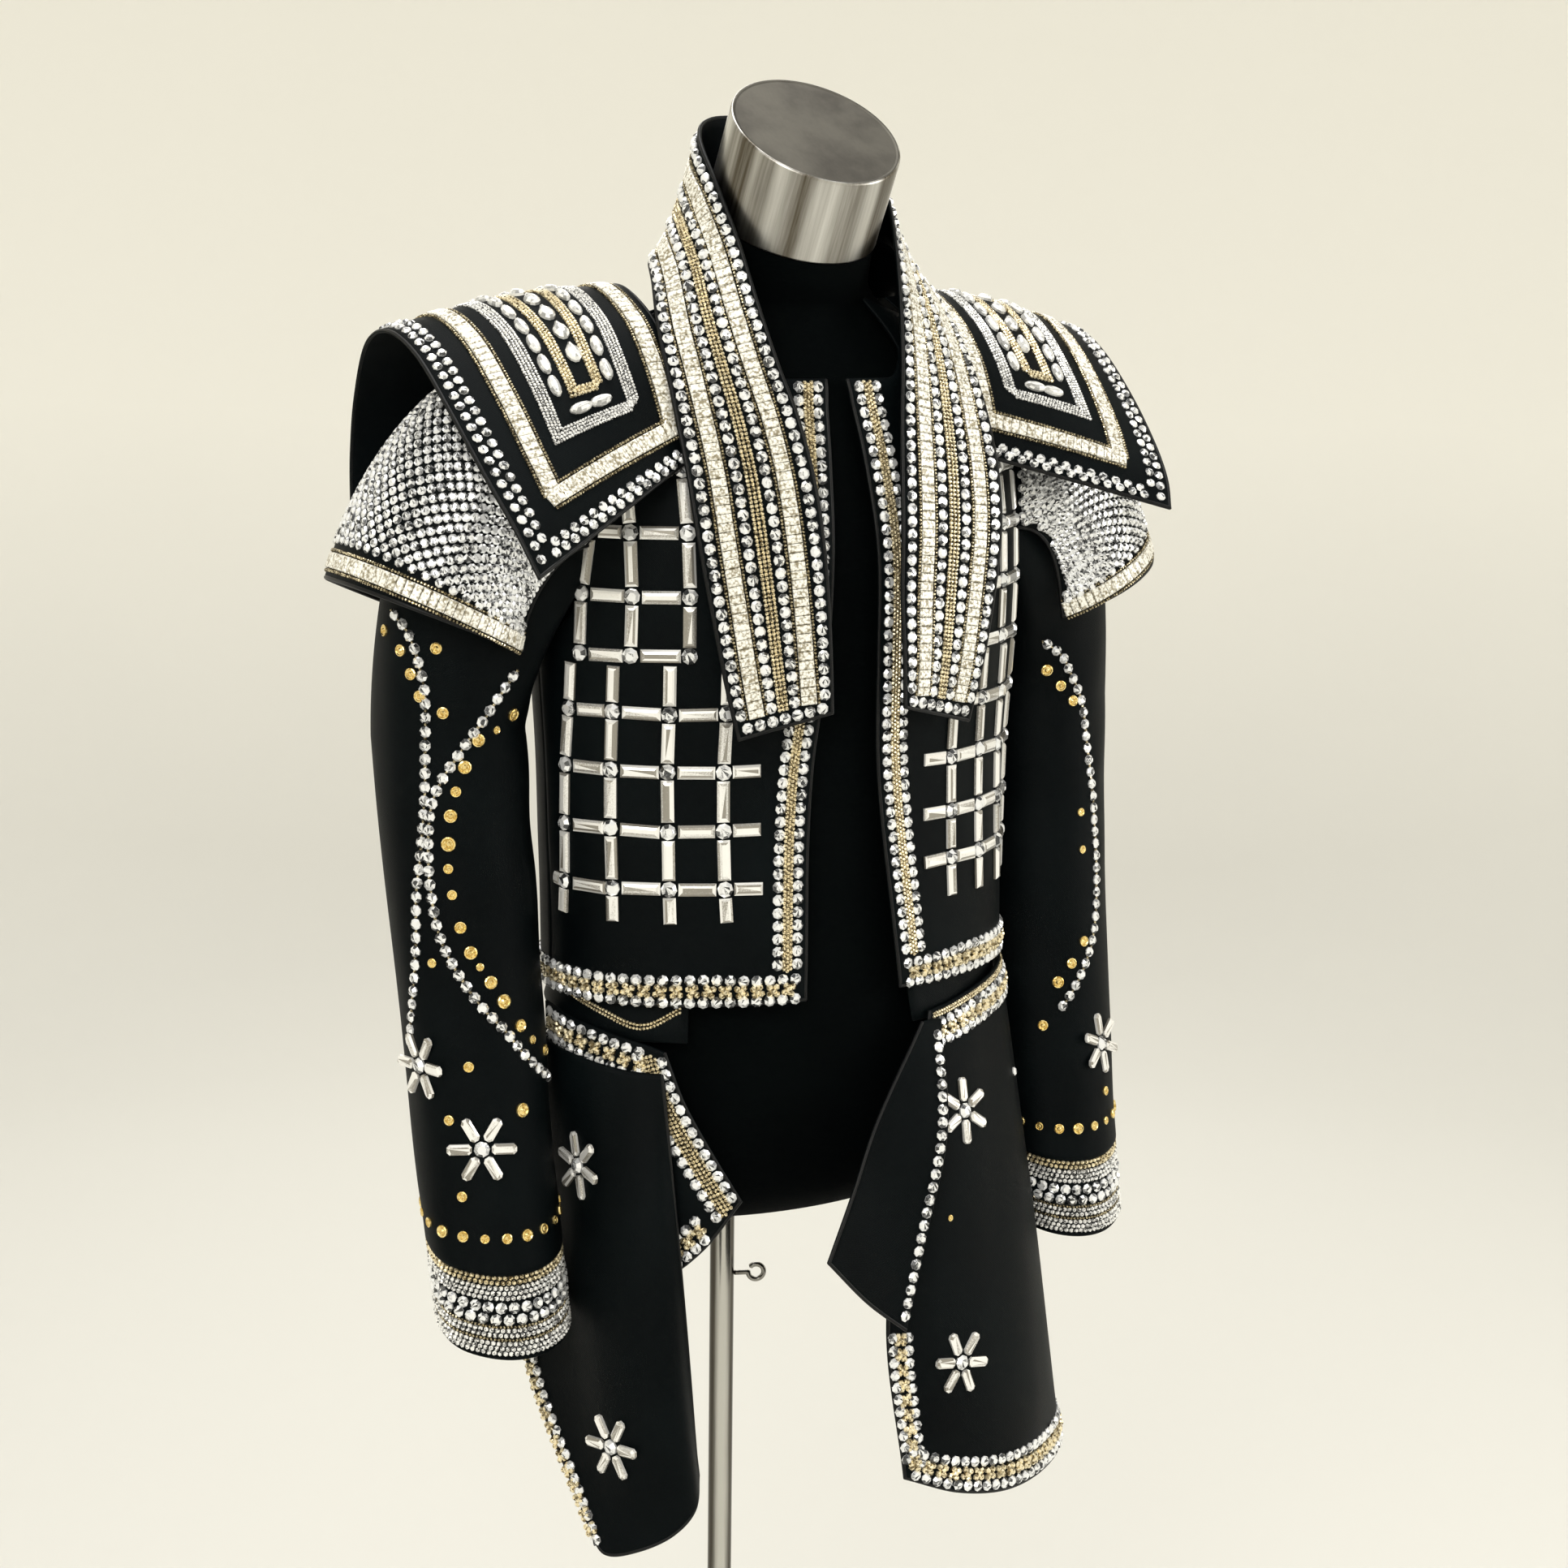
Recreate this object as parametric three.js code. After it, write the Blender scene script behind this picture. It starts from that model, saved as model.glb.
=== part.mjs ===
// Cropped blazer with a stole collar, saddle shoulders and tails, worn on a limbless dress form.
// Millimetres, +Z up. The origin is on the floor under the pole. The front faces -Y.
// +X is the wearer's left.
import * as THREE from "three";

// Driving dimensions
const CLOTH = 2;
const SEAM_GAP = 0.3;
const HEM_HEIGHT = 1030;
const FRONT_TOP = 1386;
const NECK_POINT = 70;
const NECK_POINT_HEIGHT = 1434;
const BACK_NECK_HEIGHT = 1440;
const SHOULDER_POINT = 149;
const BEAD_ROW_HEIGHT = 1.6;
const RIBBON_HEIGHT = 1.0;
const RAMP = 1.2;
const FRONT_BORDER = 19;
const HEM_BORDER = 25;
const SLEEVE_WALL = 2;
const CAP_OFFSET = 0.8;
const CUFF_EASE = 2.2;
const SLEEVE_EASE = 2;
const POLE_RADIUS = 8;
const POLE_TOP = 881.7;
const BASE_RADIUS = 150;
const BASE_EDGE = 6;
const SOCKET_RADIUS = 17;
const SOCKET_HEIGHT = 46;
const CAP_RADIUS = 51;
const SCREW_HEIGHT = 797;

// Sections of the garment's body: half width, depth to the front and to the back of the centre
const TORSO = [
  { z: 1000, side: 151, front: 98, back: 95, centre: -68, power: 2.1 },
  { z: 1033, side: 151, front: 96, back: 95, centre: -68, power: 2.1 },
  { z: 1080, side: 151, front: 93, back: 96, centre: -67, power: 2.1 },
  { z: 1120, side: 152, front: 90, back: 96, centre: -66, power: 2.1 },
  { z: 1170, side: 153, front: 89, back: 97, centre: -65, power: 2.1 },
  { z: 1230, side: 156, front: 94, back: 98, centre: -64, power: 2.1 },
  { z: 1290, side: 158, front: 95, back: 98, centre: -62, power: 2.1 },
  { z: 1340, side: 157, front: 85, back: 95, centre: -61, power: 2.0 },
  { z: 1370, side: 154, front: 77, back: 90, centre: -60, power: 1.95 },
  { z: 1386, side: 152, front: 73, back: 85, centre: -60, power: 1.9 },
  { z: 1400, side: 148, front: 61, back: 76, centre: -60, power: 1.8 },
  { z: 1416, side: 112, front: 52, back: 62, centre: -60, power: 1.8 },
  { z: 1434, side: 70, front: 42, back: 48, centre: -60, power: 1.8 },
  { z: 1446, side: 52, front: 36, back: 40, centre: -60, power: 1.8 },
];

// Sections of the dress form, the last ones leaning forward up the neck
const FORM = [
  { z: 882, side: 98, front: 50, back: 78, centre: -62, power: 2, lean: 0 },
  { z: 887, side: 116, front: 64, back: 82, centre: -63, power: 2, lean: 0 },
  { z: 906, side: 133, front: 80, back: 84, centre: -65, power: 2, lean: 0 },
  { z: 942, side: 140, front: 86, back: 85, centre: -67, power: 2, lean: 0 },
  { z: 985, side: 140, front: 85, back: 84, centre: -68, power: 2, lean: 0 },
  { z: 1033, side: 136, front: 82, back: 83, centre: -68, power: 2, lean: 0 },
  { z: 1120, side: 130, front: 80, back: 85, centre: -66, power: 2, lean: 0 },
  { z: 1170, side: 132, front: 80, back: 88, centre: -65, power: 2.1, lean: 0 },
  { z: 1230, side: 143, front: 85, back: 91, centre: -64, power: 2.1, lean: 0 },
  { z: 1290, side: 150, front: 87, back: 92, centre: -62, power: 2.1, lean: 0 },
  { z: 1340, side: 151, front: 78, back: 89, centre: -61, power: 2.0, lean: 0 },
  { z: 1370, side: 149, front: 71, back: 84, centre: -60, power: 1.95, lean: 0 },
  { z: 1386, side: 146, front: 64, back: 79, centre: -60, power: 1.75, lean: 0 },
  { z: 1398, side: 138, front: 56, back: 70, centre: -60, power: 1.6, lean: 0 },
  { z: 1411, side: 106, front: 49, back: 57, centre: -60, power: 1.5, lean: 0 },
  { z: 1426, side: 71, front: 45, back: 46, centre: -62, power: 1.6, lean: 3 },
  { z: 1441, side: 54, front: 46, back: 44, centre: -66, power: 1.9, lean: 12 },
  { z: 1456, side: 50, front: 49, back: 47, centre: -70, power: 2, lean: 22 },
  { z: 1475, side: 50, front: 50, back: 50, centre: -76, power: 2, lean: 30 },
];

// Where each front ends at its centre edge, for each side
const CENTRE_EDGE = [
  { z: 1033, right: 31, left: 33 },
  { z: 1100, right: 28, left: 26 },
  { z: 1160, right: 24, left: 20 },
  { z: 1230, right: 17, left: 16 },
  { z: 1290, right: 14, left: 15 },
  { z: 1350, right: 10, left: 11 },
  { z: 1386, right: 7, left: 6 },
];

// Half width of the fronts and back where the armhole cuts them
const ARMHOLE = [
  { z: 1236, side: 156.2 },
  { z: 1246, side: 153 },
  { z: 1262, side: 147.5 },
  { z: 1285, side: 143.5 },
  { z: 1320, side: 141.5 },
  { z: 1350, side: 142 },
  { z: 1375, side: 144.5 },
  { z: 1390, side: 147 },
  { z: 1399, side: 149 },
];

// Stole collar from a front end to the centre back
const COLLAR = [
  { outer: [77, -162, 1187], inner: [24, -176, 1201] },
  { outer: [86, -162, 1222], inner: [24, -174, 1230] },
  { outer: [94, -160, 1262], inner: [24, -170, 1264] },
  { outer: [100, -156, 1300], inner: [26, -166, 1300] },
  { outer: [102, -148, 1332], inner: [29, -159, 1334] },
  { outer: [102.5, -135, 1362], inner: [34, -149, 1366] },
  { outer: [101.5, -120, 1389], inner: [41, -137, 1396] },
  { outer: [99, -102, 1414], inner: [47, -124, 1428] },
  { outer: [92, -80, 1438], inner: [52, -109, 1462] },
  { outer: [82, -54, 1450], inner: [56, -89, 1494] },
  { outer: [64, -29, 1446], inner: [53, -60, 1521] },
  { outer: [36, -14.7, 1438], inner: [33, -33, 1533] },
  { outer: [0, -9.7, 1435], inner: [0, -22, 1536] },
];

// Saddle panel's edge beside the collar and its free side edge, from the front corner to the back
const SADDLE = [
  { inner: [95, -133.6, 1342], outer: [207, -181, 1296] },
  { inner: [95, -127.6, 1361], outer: [214, -166, 1317] },
  { inner: [95, -119.6, 1381], outer: [221, -142, 1341] },
  { inner: [95, -107.6, 1401], outer: [227, -107, 1372] },
  { inner: [95, -85.6, 1421], outer: [231, -70, 1399] },
  { inner: [96, -48, 1437], outer: [235, -36, 1411] },
  { inner: [96, -14, 1432], outer: [236, -4, 1403] },
  { inner: [95, 6, 1410], outer: [234, 22, 1372] },
  { inner: [95, 17, 1378], outer: [231, 39, 1338] },
  { inner: [95, 24, 1345], outer: [229, 46, 1306] },
];
const SADDLE_FRONT_DROP = { right: -9, left: 14 };

// Long sleeve: its middle, half width and half depth, and its lean towards the front
const SLEEVE = [
  { z: 1180, x: 203, y: -42, wide: 42, deep: 47, lean: 0 },
  { z: 1100, x: 202, y: -52, wide: 41, deep: 45, lean: 6 },
  { z: 1005, x: 200, y: -67, wide: 39.5, deep: 43, lean: 10 },
  { z: 940, x: 199, y: -79, wide: 38.5, deep: 41, lean: 12 },
  { z: 890, x: 198, y: -90, wide: 38, deep: 40, lean: 13 },
];
const SLEEVE_RISE = { right: 0, left: 9 };
const CUFF_STEP = { x: -1, y: -11, z: -47 };

// Cap sleeve's hem: its middle, half width, half depth and how much lower its inner side is
const CAP_HEM = { x: 216, y: -46, z: 1250, wide: 55, deep: 69, tilt: 0.42 };
const CAP_FROM = { armhole: 0.205, hem: 0.145 };

// Folds of the skirt pieces, back to front on the right and front to back on the left.
// Each hangs from the band at an angle from the centre front and at a height.
const PEPLUM_RIGHT = [
  { angle: 92, top: 1020, middle: [-151, -62, 960], low: [-149, -70, 905], hem: [-147, -80, 850] },
  { angle: 76, top: 1016, middle: [-147, -95, 958], low: [-142, -104, 906], hem: [-135, -116, 854] },
  { angle: 60, top: 1010, middle: [-131, -121, 958], low: [-125, -132, 912], hem: [-116, -144, 866] },
  { angle: 50, top: 1005, middle: [-115, -138, 962], low: [-107, -149, 926], hem: [-96, -161, 888] },
  { angle: 46, top: 1002, middle: [-103, -147, 974], low: [-91, -158, 946], hem: [-76, -169, 916] },
];
const TAIL_RIGHT = [
  { angle: 100, top: 1002, middle: [-158, -40, 895], low: [-170, -66, 806], hem: [-162, -146, 720] },
  { angle: 84, top: 998, middle: [-154, -84, 892], low: [-158, -112, 800], hem: [-158, -158, 709] },
  { angle: 68, top: 994, middle: [-152, -124, 890], low: [-152, -148, 796], hem: [-142, -172, 714] },
  { angle: 57, top: 991, middle: [-141, -152, 890], low: [-138, -170, 798], hem: [-124, -181, 724] },
  { angle: 50, top: 990, middle: [-124, -163, 893], low: [-119, -176, 802], hem: [-110, -181, 737] },
  { angle: 46, top: 990, middle: [-111, -158, 898], low: [-105, -165, 810], hem: [-101, -167, 750] },
];
const TAIL_LEFT = [
  { angle: 21, top: 1012, middle: [34, -186, 930], low: [8, -198, 840], hem: [16, -208, 739] },
  { angle: 28, top: 1014, middle: [59, -184, 930], low: [42, -200, 838], hem: [52, -212, 724] },
  { angle: 40, top: 1018, middle: [90, -173, 932], low: [84, -192, 836], hem: [92, -206, 714] },
  { angle: 53, top: 1021, middle: [125, -152, 934], low: [128, -170, 836], hem: [134, -184, 708] },
  { angle: 68, top: 1024, middle: [149, -120, 934], low: [157, -136, 838], hem: [172, -148, 704] },
  { angle: 84, top: 1025, middle: [153, -84, 934], low: [154, -98, 838], hem: [178, -116, 714] },
];
const FLAP_LEFT = [
  { angle: 17, top: 1008, middle: [4, -188, 960], low: [-21, -203, 922], hem: [-42, -213, 888] },
  { angle: 20, top: 1008, middle: [26, -194, 956], low: [3, -206, 906], hem: [-17, -216, 860] },
  { angle: 23, top: 1007, middle: [46, -198, 950], low: [26, -209, 890], hem: [9, -217, 838] },
];
const RIGHT_SEAT = 3.5;
const LEFT_SEAT = 2.7;
const OVER_SEAT = 7.6;
const FLAP_SEAT = 6.8;

const PALETTE = {
  crepe: { color: 0x0b0c0f, roughness: 0.62, metalness: 0 },
  crystal: { color: 0x24262a, roughness: 0.5, metalness: 0 },
  jersey: { color: 0x06080a, roughness: 0.9, metalness: 0 },
  steel: { color: 0x8f8a82, roughness: 0.32, metalness: 1 },
  chrome: { color: 0xc8c8c6, roughness: 0.18, metalness: 1 },
};

const part = new THREE.Group();
part.name = "cropped_blazer_on_dress_form";

function clamp01(value) {
  return Math.min(1, Math.max(0, value));
}

function mix(a, b, t) {
  return a + (b - a) * t;
}

// A smooth curve through a table: the value of one named column at a height
function column(table, key, z) {
  const last = table.length - 2;
  let i = 0;
  while (i < last && z > table[i + 1].z) i += 1;
  const slope = (j) => {
    const before = table[Math.max(0, j - 1)];
    const after = table[Math.min(table.length - 1, j + 1)];
    return (after[key] - before[key]) / (after.z - before.z);
  };
  const span = table[i + 1].z - table[i].z;
  const t = clamp01((z - table[i].z) / span);
  const a = table[i][key];
  const b = table[i + 1][key];
  const rise = t * t * (3 - 2 * t);
  const start = t * (1 - t) * (1 - t) * slope(i) * span;
  const end = t * t * (1 - t) * slope(i + 1) * span;
  return mix(a, b, rise) + start - end;
}

// A smooth curve through named points of a table, at a share t of its length
function through(points, t) {
  const curve = new THREE.CatmullRomCurve3(points, false, "catmullrom", 0.5);
  return curve.getPoint(clamp01(t));
}

function vector(values, side = 1) {
  return new THREE.Vector3(values[0] * side, values[1], values[2]);
}

// Depth of the garment's body from its centre at a place across and a height
function depthAt(table, key, x, z) {
  const power = column(table, "power", z);
  const share = clamp01(Math.abs(x) / column(table, "side", z));
  return column(table, key, z) * (1 - share ** power) ** (1 / power);
}

function bodyPoint(x, z, face) {
  const key = face < 0 ? "front" : "back";
  const away = depthAt(TORSO, key, x, z) + SEAM_GAP / 2;
  return new THREE.Vector3(x, column(TORSO, "centre", z) + face * away, z);
}

// Height of the shoulder seam over a place across: where the body is just that wide
function shoulderHeight(x) {
  let low = FRONT_TOP;
  let high = NECK_POINT_HEIGHT + 12;
  for (let i = 0; i < 30; i += 1) {
    const z = (low + high) / 2;
    if (column(TORSO, "side", z) > x) low = z;
    else high = z;
  }
  return low;
}

// A wall of cloth from a grid of outer points. Columns run to the right and rows run up,
// seen from outside. The inner face is plain, and raise lifts the outer one.
function wall(point, columns, rows, options = {}) {
  const { thick = CLOTH, raise = () => 0, closed = false, normal = null } = options;
  const wide = columns.length;
  const high = rows.length;
  const base = rows.map((v) => columns.map((u) => point(u, v)));
  const at = (i, j) => base[Math.min(high - 1, Math.max(0, j))][closed ? (i + wide) % wide
    : Math.min(wide - 1, Math.max(0, i))];
  const vertices = [];
  const faceOut = (i, j) => {
    const along = at(i + 1, j).clone().sub(at(i - 1, j));
    const up = at(i, j + 1).clone().sub(at(i, j - 1));
    const found = along.cross(up).normalize();
    return (normal && normal(columns[i], rows[j], found)) || found;
  };
  for (const lift of [1, 0]) {
    for (let j = 0; j < high; j += 1) {
      for (let i = 0; i < wide; i += 1) {
        const step = lift ? raise(columns[i], rows[j]) : -thick;
        const p = base[j][i].clone().addScaledVector(faceOut(i, j), step);
        vertices.push(p.x, p.y, p.z);
      }
    }
  }
  const inside = wide * high;
  const index = [];
  const quad = (a, b, c, d) => index.push(a, b, c, a, c, d);
  const id = (i, j) => j * wide + (closed ? i % wide : i);
  const spans = closed ? wide : wide - 1;
  for (let j = 0; j < high - 1; j += 1) {
    for (let i = 0; i < spans; i += 1) {
      const [a, b, c, d] = [id(i, j), id(i + 1, j), id(i + 1, j + 1), id(i, j + 1)];
      quad(a, b, c, d);
      quad(inside + a, inside + d, inside + c, inside + b);
    }
  }
  for (let i = 0; i < spans; i += 1) {
    const [a, b] = [id(i, 0), id(i + 1, 0)];
    const [c, d] = [id(i, high - 1), id(i + 1, high - 1)];
    quad(a, inside + a, inside + b, b);
    quad(d, inside + d, inside + c, c);
  }
  for (let j = 0; j < high - 1 && !closed; j += 1) {
    const [a, b] = [id(0, j), id(0, j + 1)];
    const [c, d] = [id(wide - 1, j), id(wide - 1, j + 1)];
    quad(b, inside + b, inside + a, a);
    quad(c, inside + c, inside + d, d);
  }
  return solid(vertices, index);
}

// A closed body through rings, with a flat end at the first and the last
function loft(rings) {
  const count = rings[0].length;
  const vertices = rings.flat().flatMap((p) => [p.x, p.y, p.z]);
  const index = [];
  for (let j = 0; j < rings.length - 1; j += 1) {
    for (let i = 0; i < count; i += 1) {
      const a = j * count + i;
      const b = j * count + ((i + 1) % count);
      index.push(a, b, b + count, a, b + count, a + count);
    }
  }
  for (const end of [0, rings.length - 1]) {
    const middle = vertices.length / 3;
    const centre = new THREE.Vector3();
    rings[end].forEach((p) => centre.add(p));
    centre.divideScalar(count);
    vertices.push(centre.x, centre.y, centre.z);
    for (let i = 0; i < count; i += 1) {
      const a = end * count + i;
      const b = end * count + ((i + 1) % count);
      if (end === 0) index.push(middle, b, a);
      else index.push(middle, a, b);
    }
  }
  return solid(vertices, index);
}

function solid(vertices, index) {
  const geometry = new THREE.BufferGeometry();
  geometry.setAttribute("position", new THREE.Float32BufferAttribute(vertices, 3));
  geometry.setIndex(index);
  geometry.computeVertexNormals();
  return geometry;
}

function add(name, geometry, look) {
  const mesh = new THREE.Mesh(geometry, new THREE.MeshStandardMaterial(PALETTE[look]));
  mesh.name = name;
  part.add(mesh);
  return mesh;
}

function steps(count, from = 0, to = 1) {
  return Array.from({ length: count + 1 }, (_, i) => mix(from, to, i / count));
}

// Turns a left piece's point function into the right one's, and keeps columns running right
function forSide(side, point) {
  return (u, v) => {
    const p = point(side > 0 ? u : 1 - u, v);
    p.x *= side;
    return p;
  };
}

function sideName(side) {
  return side > 0 ? "left" : "right";
}

// Height of raised bands at a distance from an edge
function banded(bands, distance) {
  for (const { from, to, high } of bands) {
    if (distance > from - RAMP / 2 && distance < to + RAMP / 2) {
      const rise = Math.min(distance - from, to - distance) / RAMP;
      return high * clamp01(rise);
    }
  }
  return 0;
}

// Grid lines at the feet and shoulders of raised bands
function bandLines(bands) {
  return bands.flatMap(({ from, to }) => [from, from + RAMP, to - RAMP, to]);
}

// Fronts
const FRONT_WIDTH = 118;
const EDGE_BANDS = [{ from: 2, to: FRONT_BORDER, high: BEAD_ROW_HEIGHT }];
const HEM_BANDS = [{ from: 2, to: HEM_BORDER, high: BEAD_ROW_HEIGHT }];

function frontTop(x) {
  if (x >= NECK_POINT) return shoulderHeight(x);
  const share = clamp01((x - 38) / (NECK_POINT - 38));
  return mix(FRONT_TOP, NECK_POINT_HEIGHT, share ** 1.4);
}

function sideEdge(z) {
  const body = column(TORSO, "side", z);
  if (z < ARMHOLE[0].z) return body;
  return Math.min(body, column(ARMHOLE, "side", Math.min(z, ARMHOLE[ARMHOLE.length - 1].z)));
}

function frontPoint(side) {
  const name = sideName(side);
  const share = (u) => Math.sin((u * Math.PI) / 2);
  const edge = (z) => column(CENTRE_EDGE, name, Math.min(z, FRONT_TOP));
  return (u, v) => {
    const top = frontTop(mix(edge(FRONT_TOP), SHOULDER_POINT, share(u)));
    const z = mix(HEM_HEIGHT, top, v);
    const x = mix(edge(z), sideEdge(z), share(u));
    return bodyPoint(Math.min(x, column(TORSO, "side", z)), z, -1);
  };
}

// At a side or shoulder seam the cut edge faces straight across the seam
function seamNormal(onSeam, found) {
  if (onSeam) found.y = 0;
  return found.normalize();
}

function front(side) {
  const across = (distance) => (Math.asin(distance / FRONT_WIDTH) * 2) / Math.PI;
  const high = FRONT_TOP - HEM_HEIGHT;
  const lines = [0, ...bandLines(EDGE_BANDS), 34, 50, 66, 82, 96, 107].map(across);
  const columns = [...lines, 0.9, 1];
  const rows = [0, ...bandLines(HEM_BANDS).map((d) => d / high)];
  rows.push(0.17, 0.29, 0.42, 0.52, 0.58, 0.64, 0.71, 0.8, 0.88, 0.93, 0.97, 1);
  const raise = (u, v) => {
    const distance = FRONT_WIDTH * Math.sin((u * Math.PI) / 2);
    return Math.max(banded(EDGE_BANDS, distance), banded(HEM_BANDS, v * high));
  };
  const flip = (u) => (side > 0 ? u : 1 - u);
  const grid = side > 0 ? columns : columns.map(flip).reverse();
  const geometry = wall(forSide(side, frontPoint(side)), grid, rows, {
    raise: (u, v) => (v > 0.97 ? 0 : raise(flip(u), v)),
    normal: (u, v, found) => seamNormal(flip(u) > 0.999 || (v > 0.999 && flip(u) > 0.4), found),
  });
  add(`front_${sideName(side)}`, geometry, "crepe");
}

// Back, cut in one
function backTop(x) {
  if (x >= NECK_POINT) return shoulderHeight(x);
  const share = Math.cos(((x / NECK_POINT) * Math.PI) / 2);
  return mix(NECK_POINT_HEIGHT, BACK_NECK_HEIGHT - 6, share);
}

function backPoint(u, v) {
  const share = Math.sin(((1 - 2 * u) * Math.PI) / 2);
  const top = backTop(Math.abs(share) * SHOULDER_POINT);
  const z = mix(HEM_HEIGHT, top, v);
  const x = share * Math.min(sideEdge(z), column(TORSO, "side", z));
  return bodyPoint(x, z, 1);
}

function back() {
  const rows = [0, 0.003, 0.055, 0.06, 0.2, 0.36, 0.52, 0.58, 0.64, 0.72, 0.82, 0.9, 0.96, 1];
  const raise = (u, v) => (v > 0.002 && v < 0.058 ? BEAD_ROW_HEIGHT : 0);
  const normal = (u, v, found) => {
    const onShoulder = v > 0.999 && Math.abs(u - 0.5) > 0.16;
    return seamNormal(u < 0.001 || u > 0.999 || onShoulder, found);
  };
  add("back", wall(backPoint, steps(20), rows, { raise, normal }), "crepe");
}

// Stole collar
const COLLAR_BANDS = [
  { from: 0.03, to: 0.1 },
  { from: 0.16, to: 0.31 },
  { from: 0.38, to: 0.6 },
  { from: 0.68, to: 0.84 },
  { from: 0.9, to: 0.97 },
];

function collarPoint(u, v) {
  const half = v < 0.5 ? v * 2 : (1 - v) * 2;
  const side = v < 0.5 ? -1 : 1;
  const outer = through(COLLAR.map((row) => vector(row.outer, side)), half);
  const inner = through(COLLAR.map((row) => vector(row.inner, side)), half);
  return outer.lerp(inner, u);
}

function collar() {
  const columns = [0, ...COLLAR_BANDS.flatMap(({ from, to }) => [from, to]), 1];
  const raise = (u, v) => {
    const inBand = COLLAR_BANDS.some(({ from, to }) => u > from - 0.001 && u < to + 0.001);
    return inBand && v > 0.001 && v < 0.999 ? RIBBON_HEIGHT : 0;
  };
  add("collar", wall(collarPoint, columns, steps(26), { raise }), "crepe");
}

// Saddle panels over the shoulders
const SADDLE_WIDTH = 118;
const SADDLE_LENGTH = 300;
const SADDLE_BANDS = [
  { from: 3, to: 15, high: BEAD_ROW_HEIGHT },
  { from: 24, to: 36, high: RIBBON_HEIGHT },
];

function saddlePoint(side) {
  const drop = SADDLE_FRONT_DROP[sideName(side)];
  return (u, v) => {
    const inner = through(SADDLE.map((row) => vector(row.inner)), v);
    const outer = through(SADDLE.map((row) => vector(row.outer)), v);
    const fall = drop * clamp01(1 - v / 0.4) ** 1.5;
    outer.z += fall;
    outer.y += fall * 0.3;
    const p = inner.clone().lerp(outer, u);
    p.z += 5 * Math.sin(Math.PI * u) * Math.sin(Math.PI * v);
    return p;
  };
}

function saddle(side) {
  const feet = bandLines(SADDLE_BANDS);
  const inward = feet.map((d) => 1 - d / SADDLE_WIDTH).reverse();
  const columns = [0, 0.17, 0.34, 0.51, 0.66, ...inward, 1];
  const front = feet.map((d) => d / SADDLE_LENGTH);
  const rows = [0, ...front, 0.2, 0.29, 0.38, 0.47, 0.54, 0.61, 0.7, 0.8];
  rows.push(...front.map((v) => 1 - v).reverse(), 1);
  const flip = (u) => (side > 0 ? u : 1 - u);
  const raise = (u, v) => {
    const fromSide = (1 - flip(u)) * SADDLE_WIDTH;
    const fromEnd = Math.min(v, 1 - v) * SADDLE_LENGTH;
    return banded(SADDLE_BANDS, Math.min(fromSide, fromEnd));
  };
  const grid = side > 0 ? columns : columns.map(flip).reverse();
  const geometry = wall(forSide(side, saddlePoint(side)), grid, rows, { raise });
  add(`saddle_${sideName(side)}`, geometry, "crepe");
}

// Armhole: a loop round the arm, from under it (share 0) over the front, the top and the back
function armholePoint(share) {
  const low = ARMHOLE[0].z;
  const high = ARMHOLE[ARMHOLE.length - 1].z;
  const turn = share * 2 * Math.PI;
  const z = mix(low, high, (1 - Math.cos(turn)) / 2);
  const face = share <= 0.5 ? -1 : 1;
  const p = bodyPoint(Math.min(sideEdge(z), column(TORSO, "side", z)), z, face);
  const round = Math.min(1, Math.abs(Math.sin(turn)) * 1.2);
  p.y = mix(column(TORSO, "centre", z), p.y, round);
  p.x += SEAM_GAP + 0.4;
  return p;
}

const ARM_CENTRE = new THREE.Vector3(150, -61, 1318);

function armholeOut(share) {
  const p = armholePoint(share).sub(ARM_CENTRE);
  p.x = 0;
  return p.normalize();
}

function sleeveRing(row, share, ease = 0) {
  const turn = share * 2 * Math.PI;
  const across = -Math.cos(turn) * (row.wide + ease);
  const along = -Math.sin(turn) * (row.deep + ease);
  const lean = THREE.MathUtils.degToRad(row.lean);
  const crease = 1 + 0.045 * Math.exp(-(((share - 0.43) / 0.05) ** 2));
  const y = row.y + along * Math.cos(lean) * crease;
  return new THREE.Vector3(row.x + across * crease, y, row.z + along * Math.sin(lean));
}

// A curve that leaves the armhole along one direction and arrives along another
function bend(from, leave, to, arrive, t) {
  const reach = from.distanceTo(to);
  const a = from.clone().addScaledVector(leave, reach * 0.36);
  const b = to.clone().addScaledVector(arrive, -reach * 0.36);
  return new THREE.CubicBezierCurve3(from, a, b, to).getPoint(t);
}

function leaveArmhole(share) {
  const high = (1 - Math.cos(share * 2 * Math.PI)) / 2;
  return new THREE.Vector3(0.35 + 0.65 * high, 0, -0.95 * (1 - high)).normalize();
}

// Long sleeve: the armhole first, then rings down to the wrist
const SLEEVE_BEND = 0.4;

function sleevePoint(share, v) {
  if (v < SLEEVE_BEND) {
    const from = armholePoint(share);
    const to = sleeveRing(SLEEVE[0], share, SLEEVE_EASE);
    return bend(from, leaveArmhole(share), to, new THREE.Vector3(0, 0, -1), v / SLEEVE_BEND);
  }
  const table = SLEEVE.map((row) => sleeveRing(row, share, SLEEVE_EASE));
  return through(table, (v - SLEEVE_BEND) / (1 - SLEEVE_BEND));
}

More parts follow.
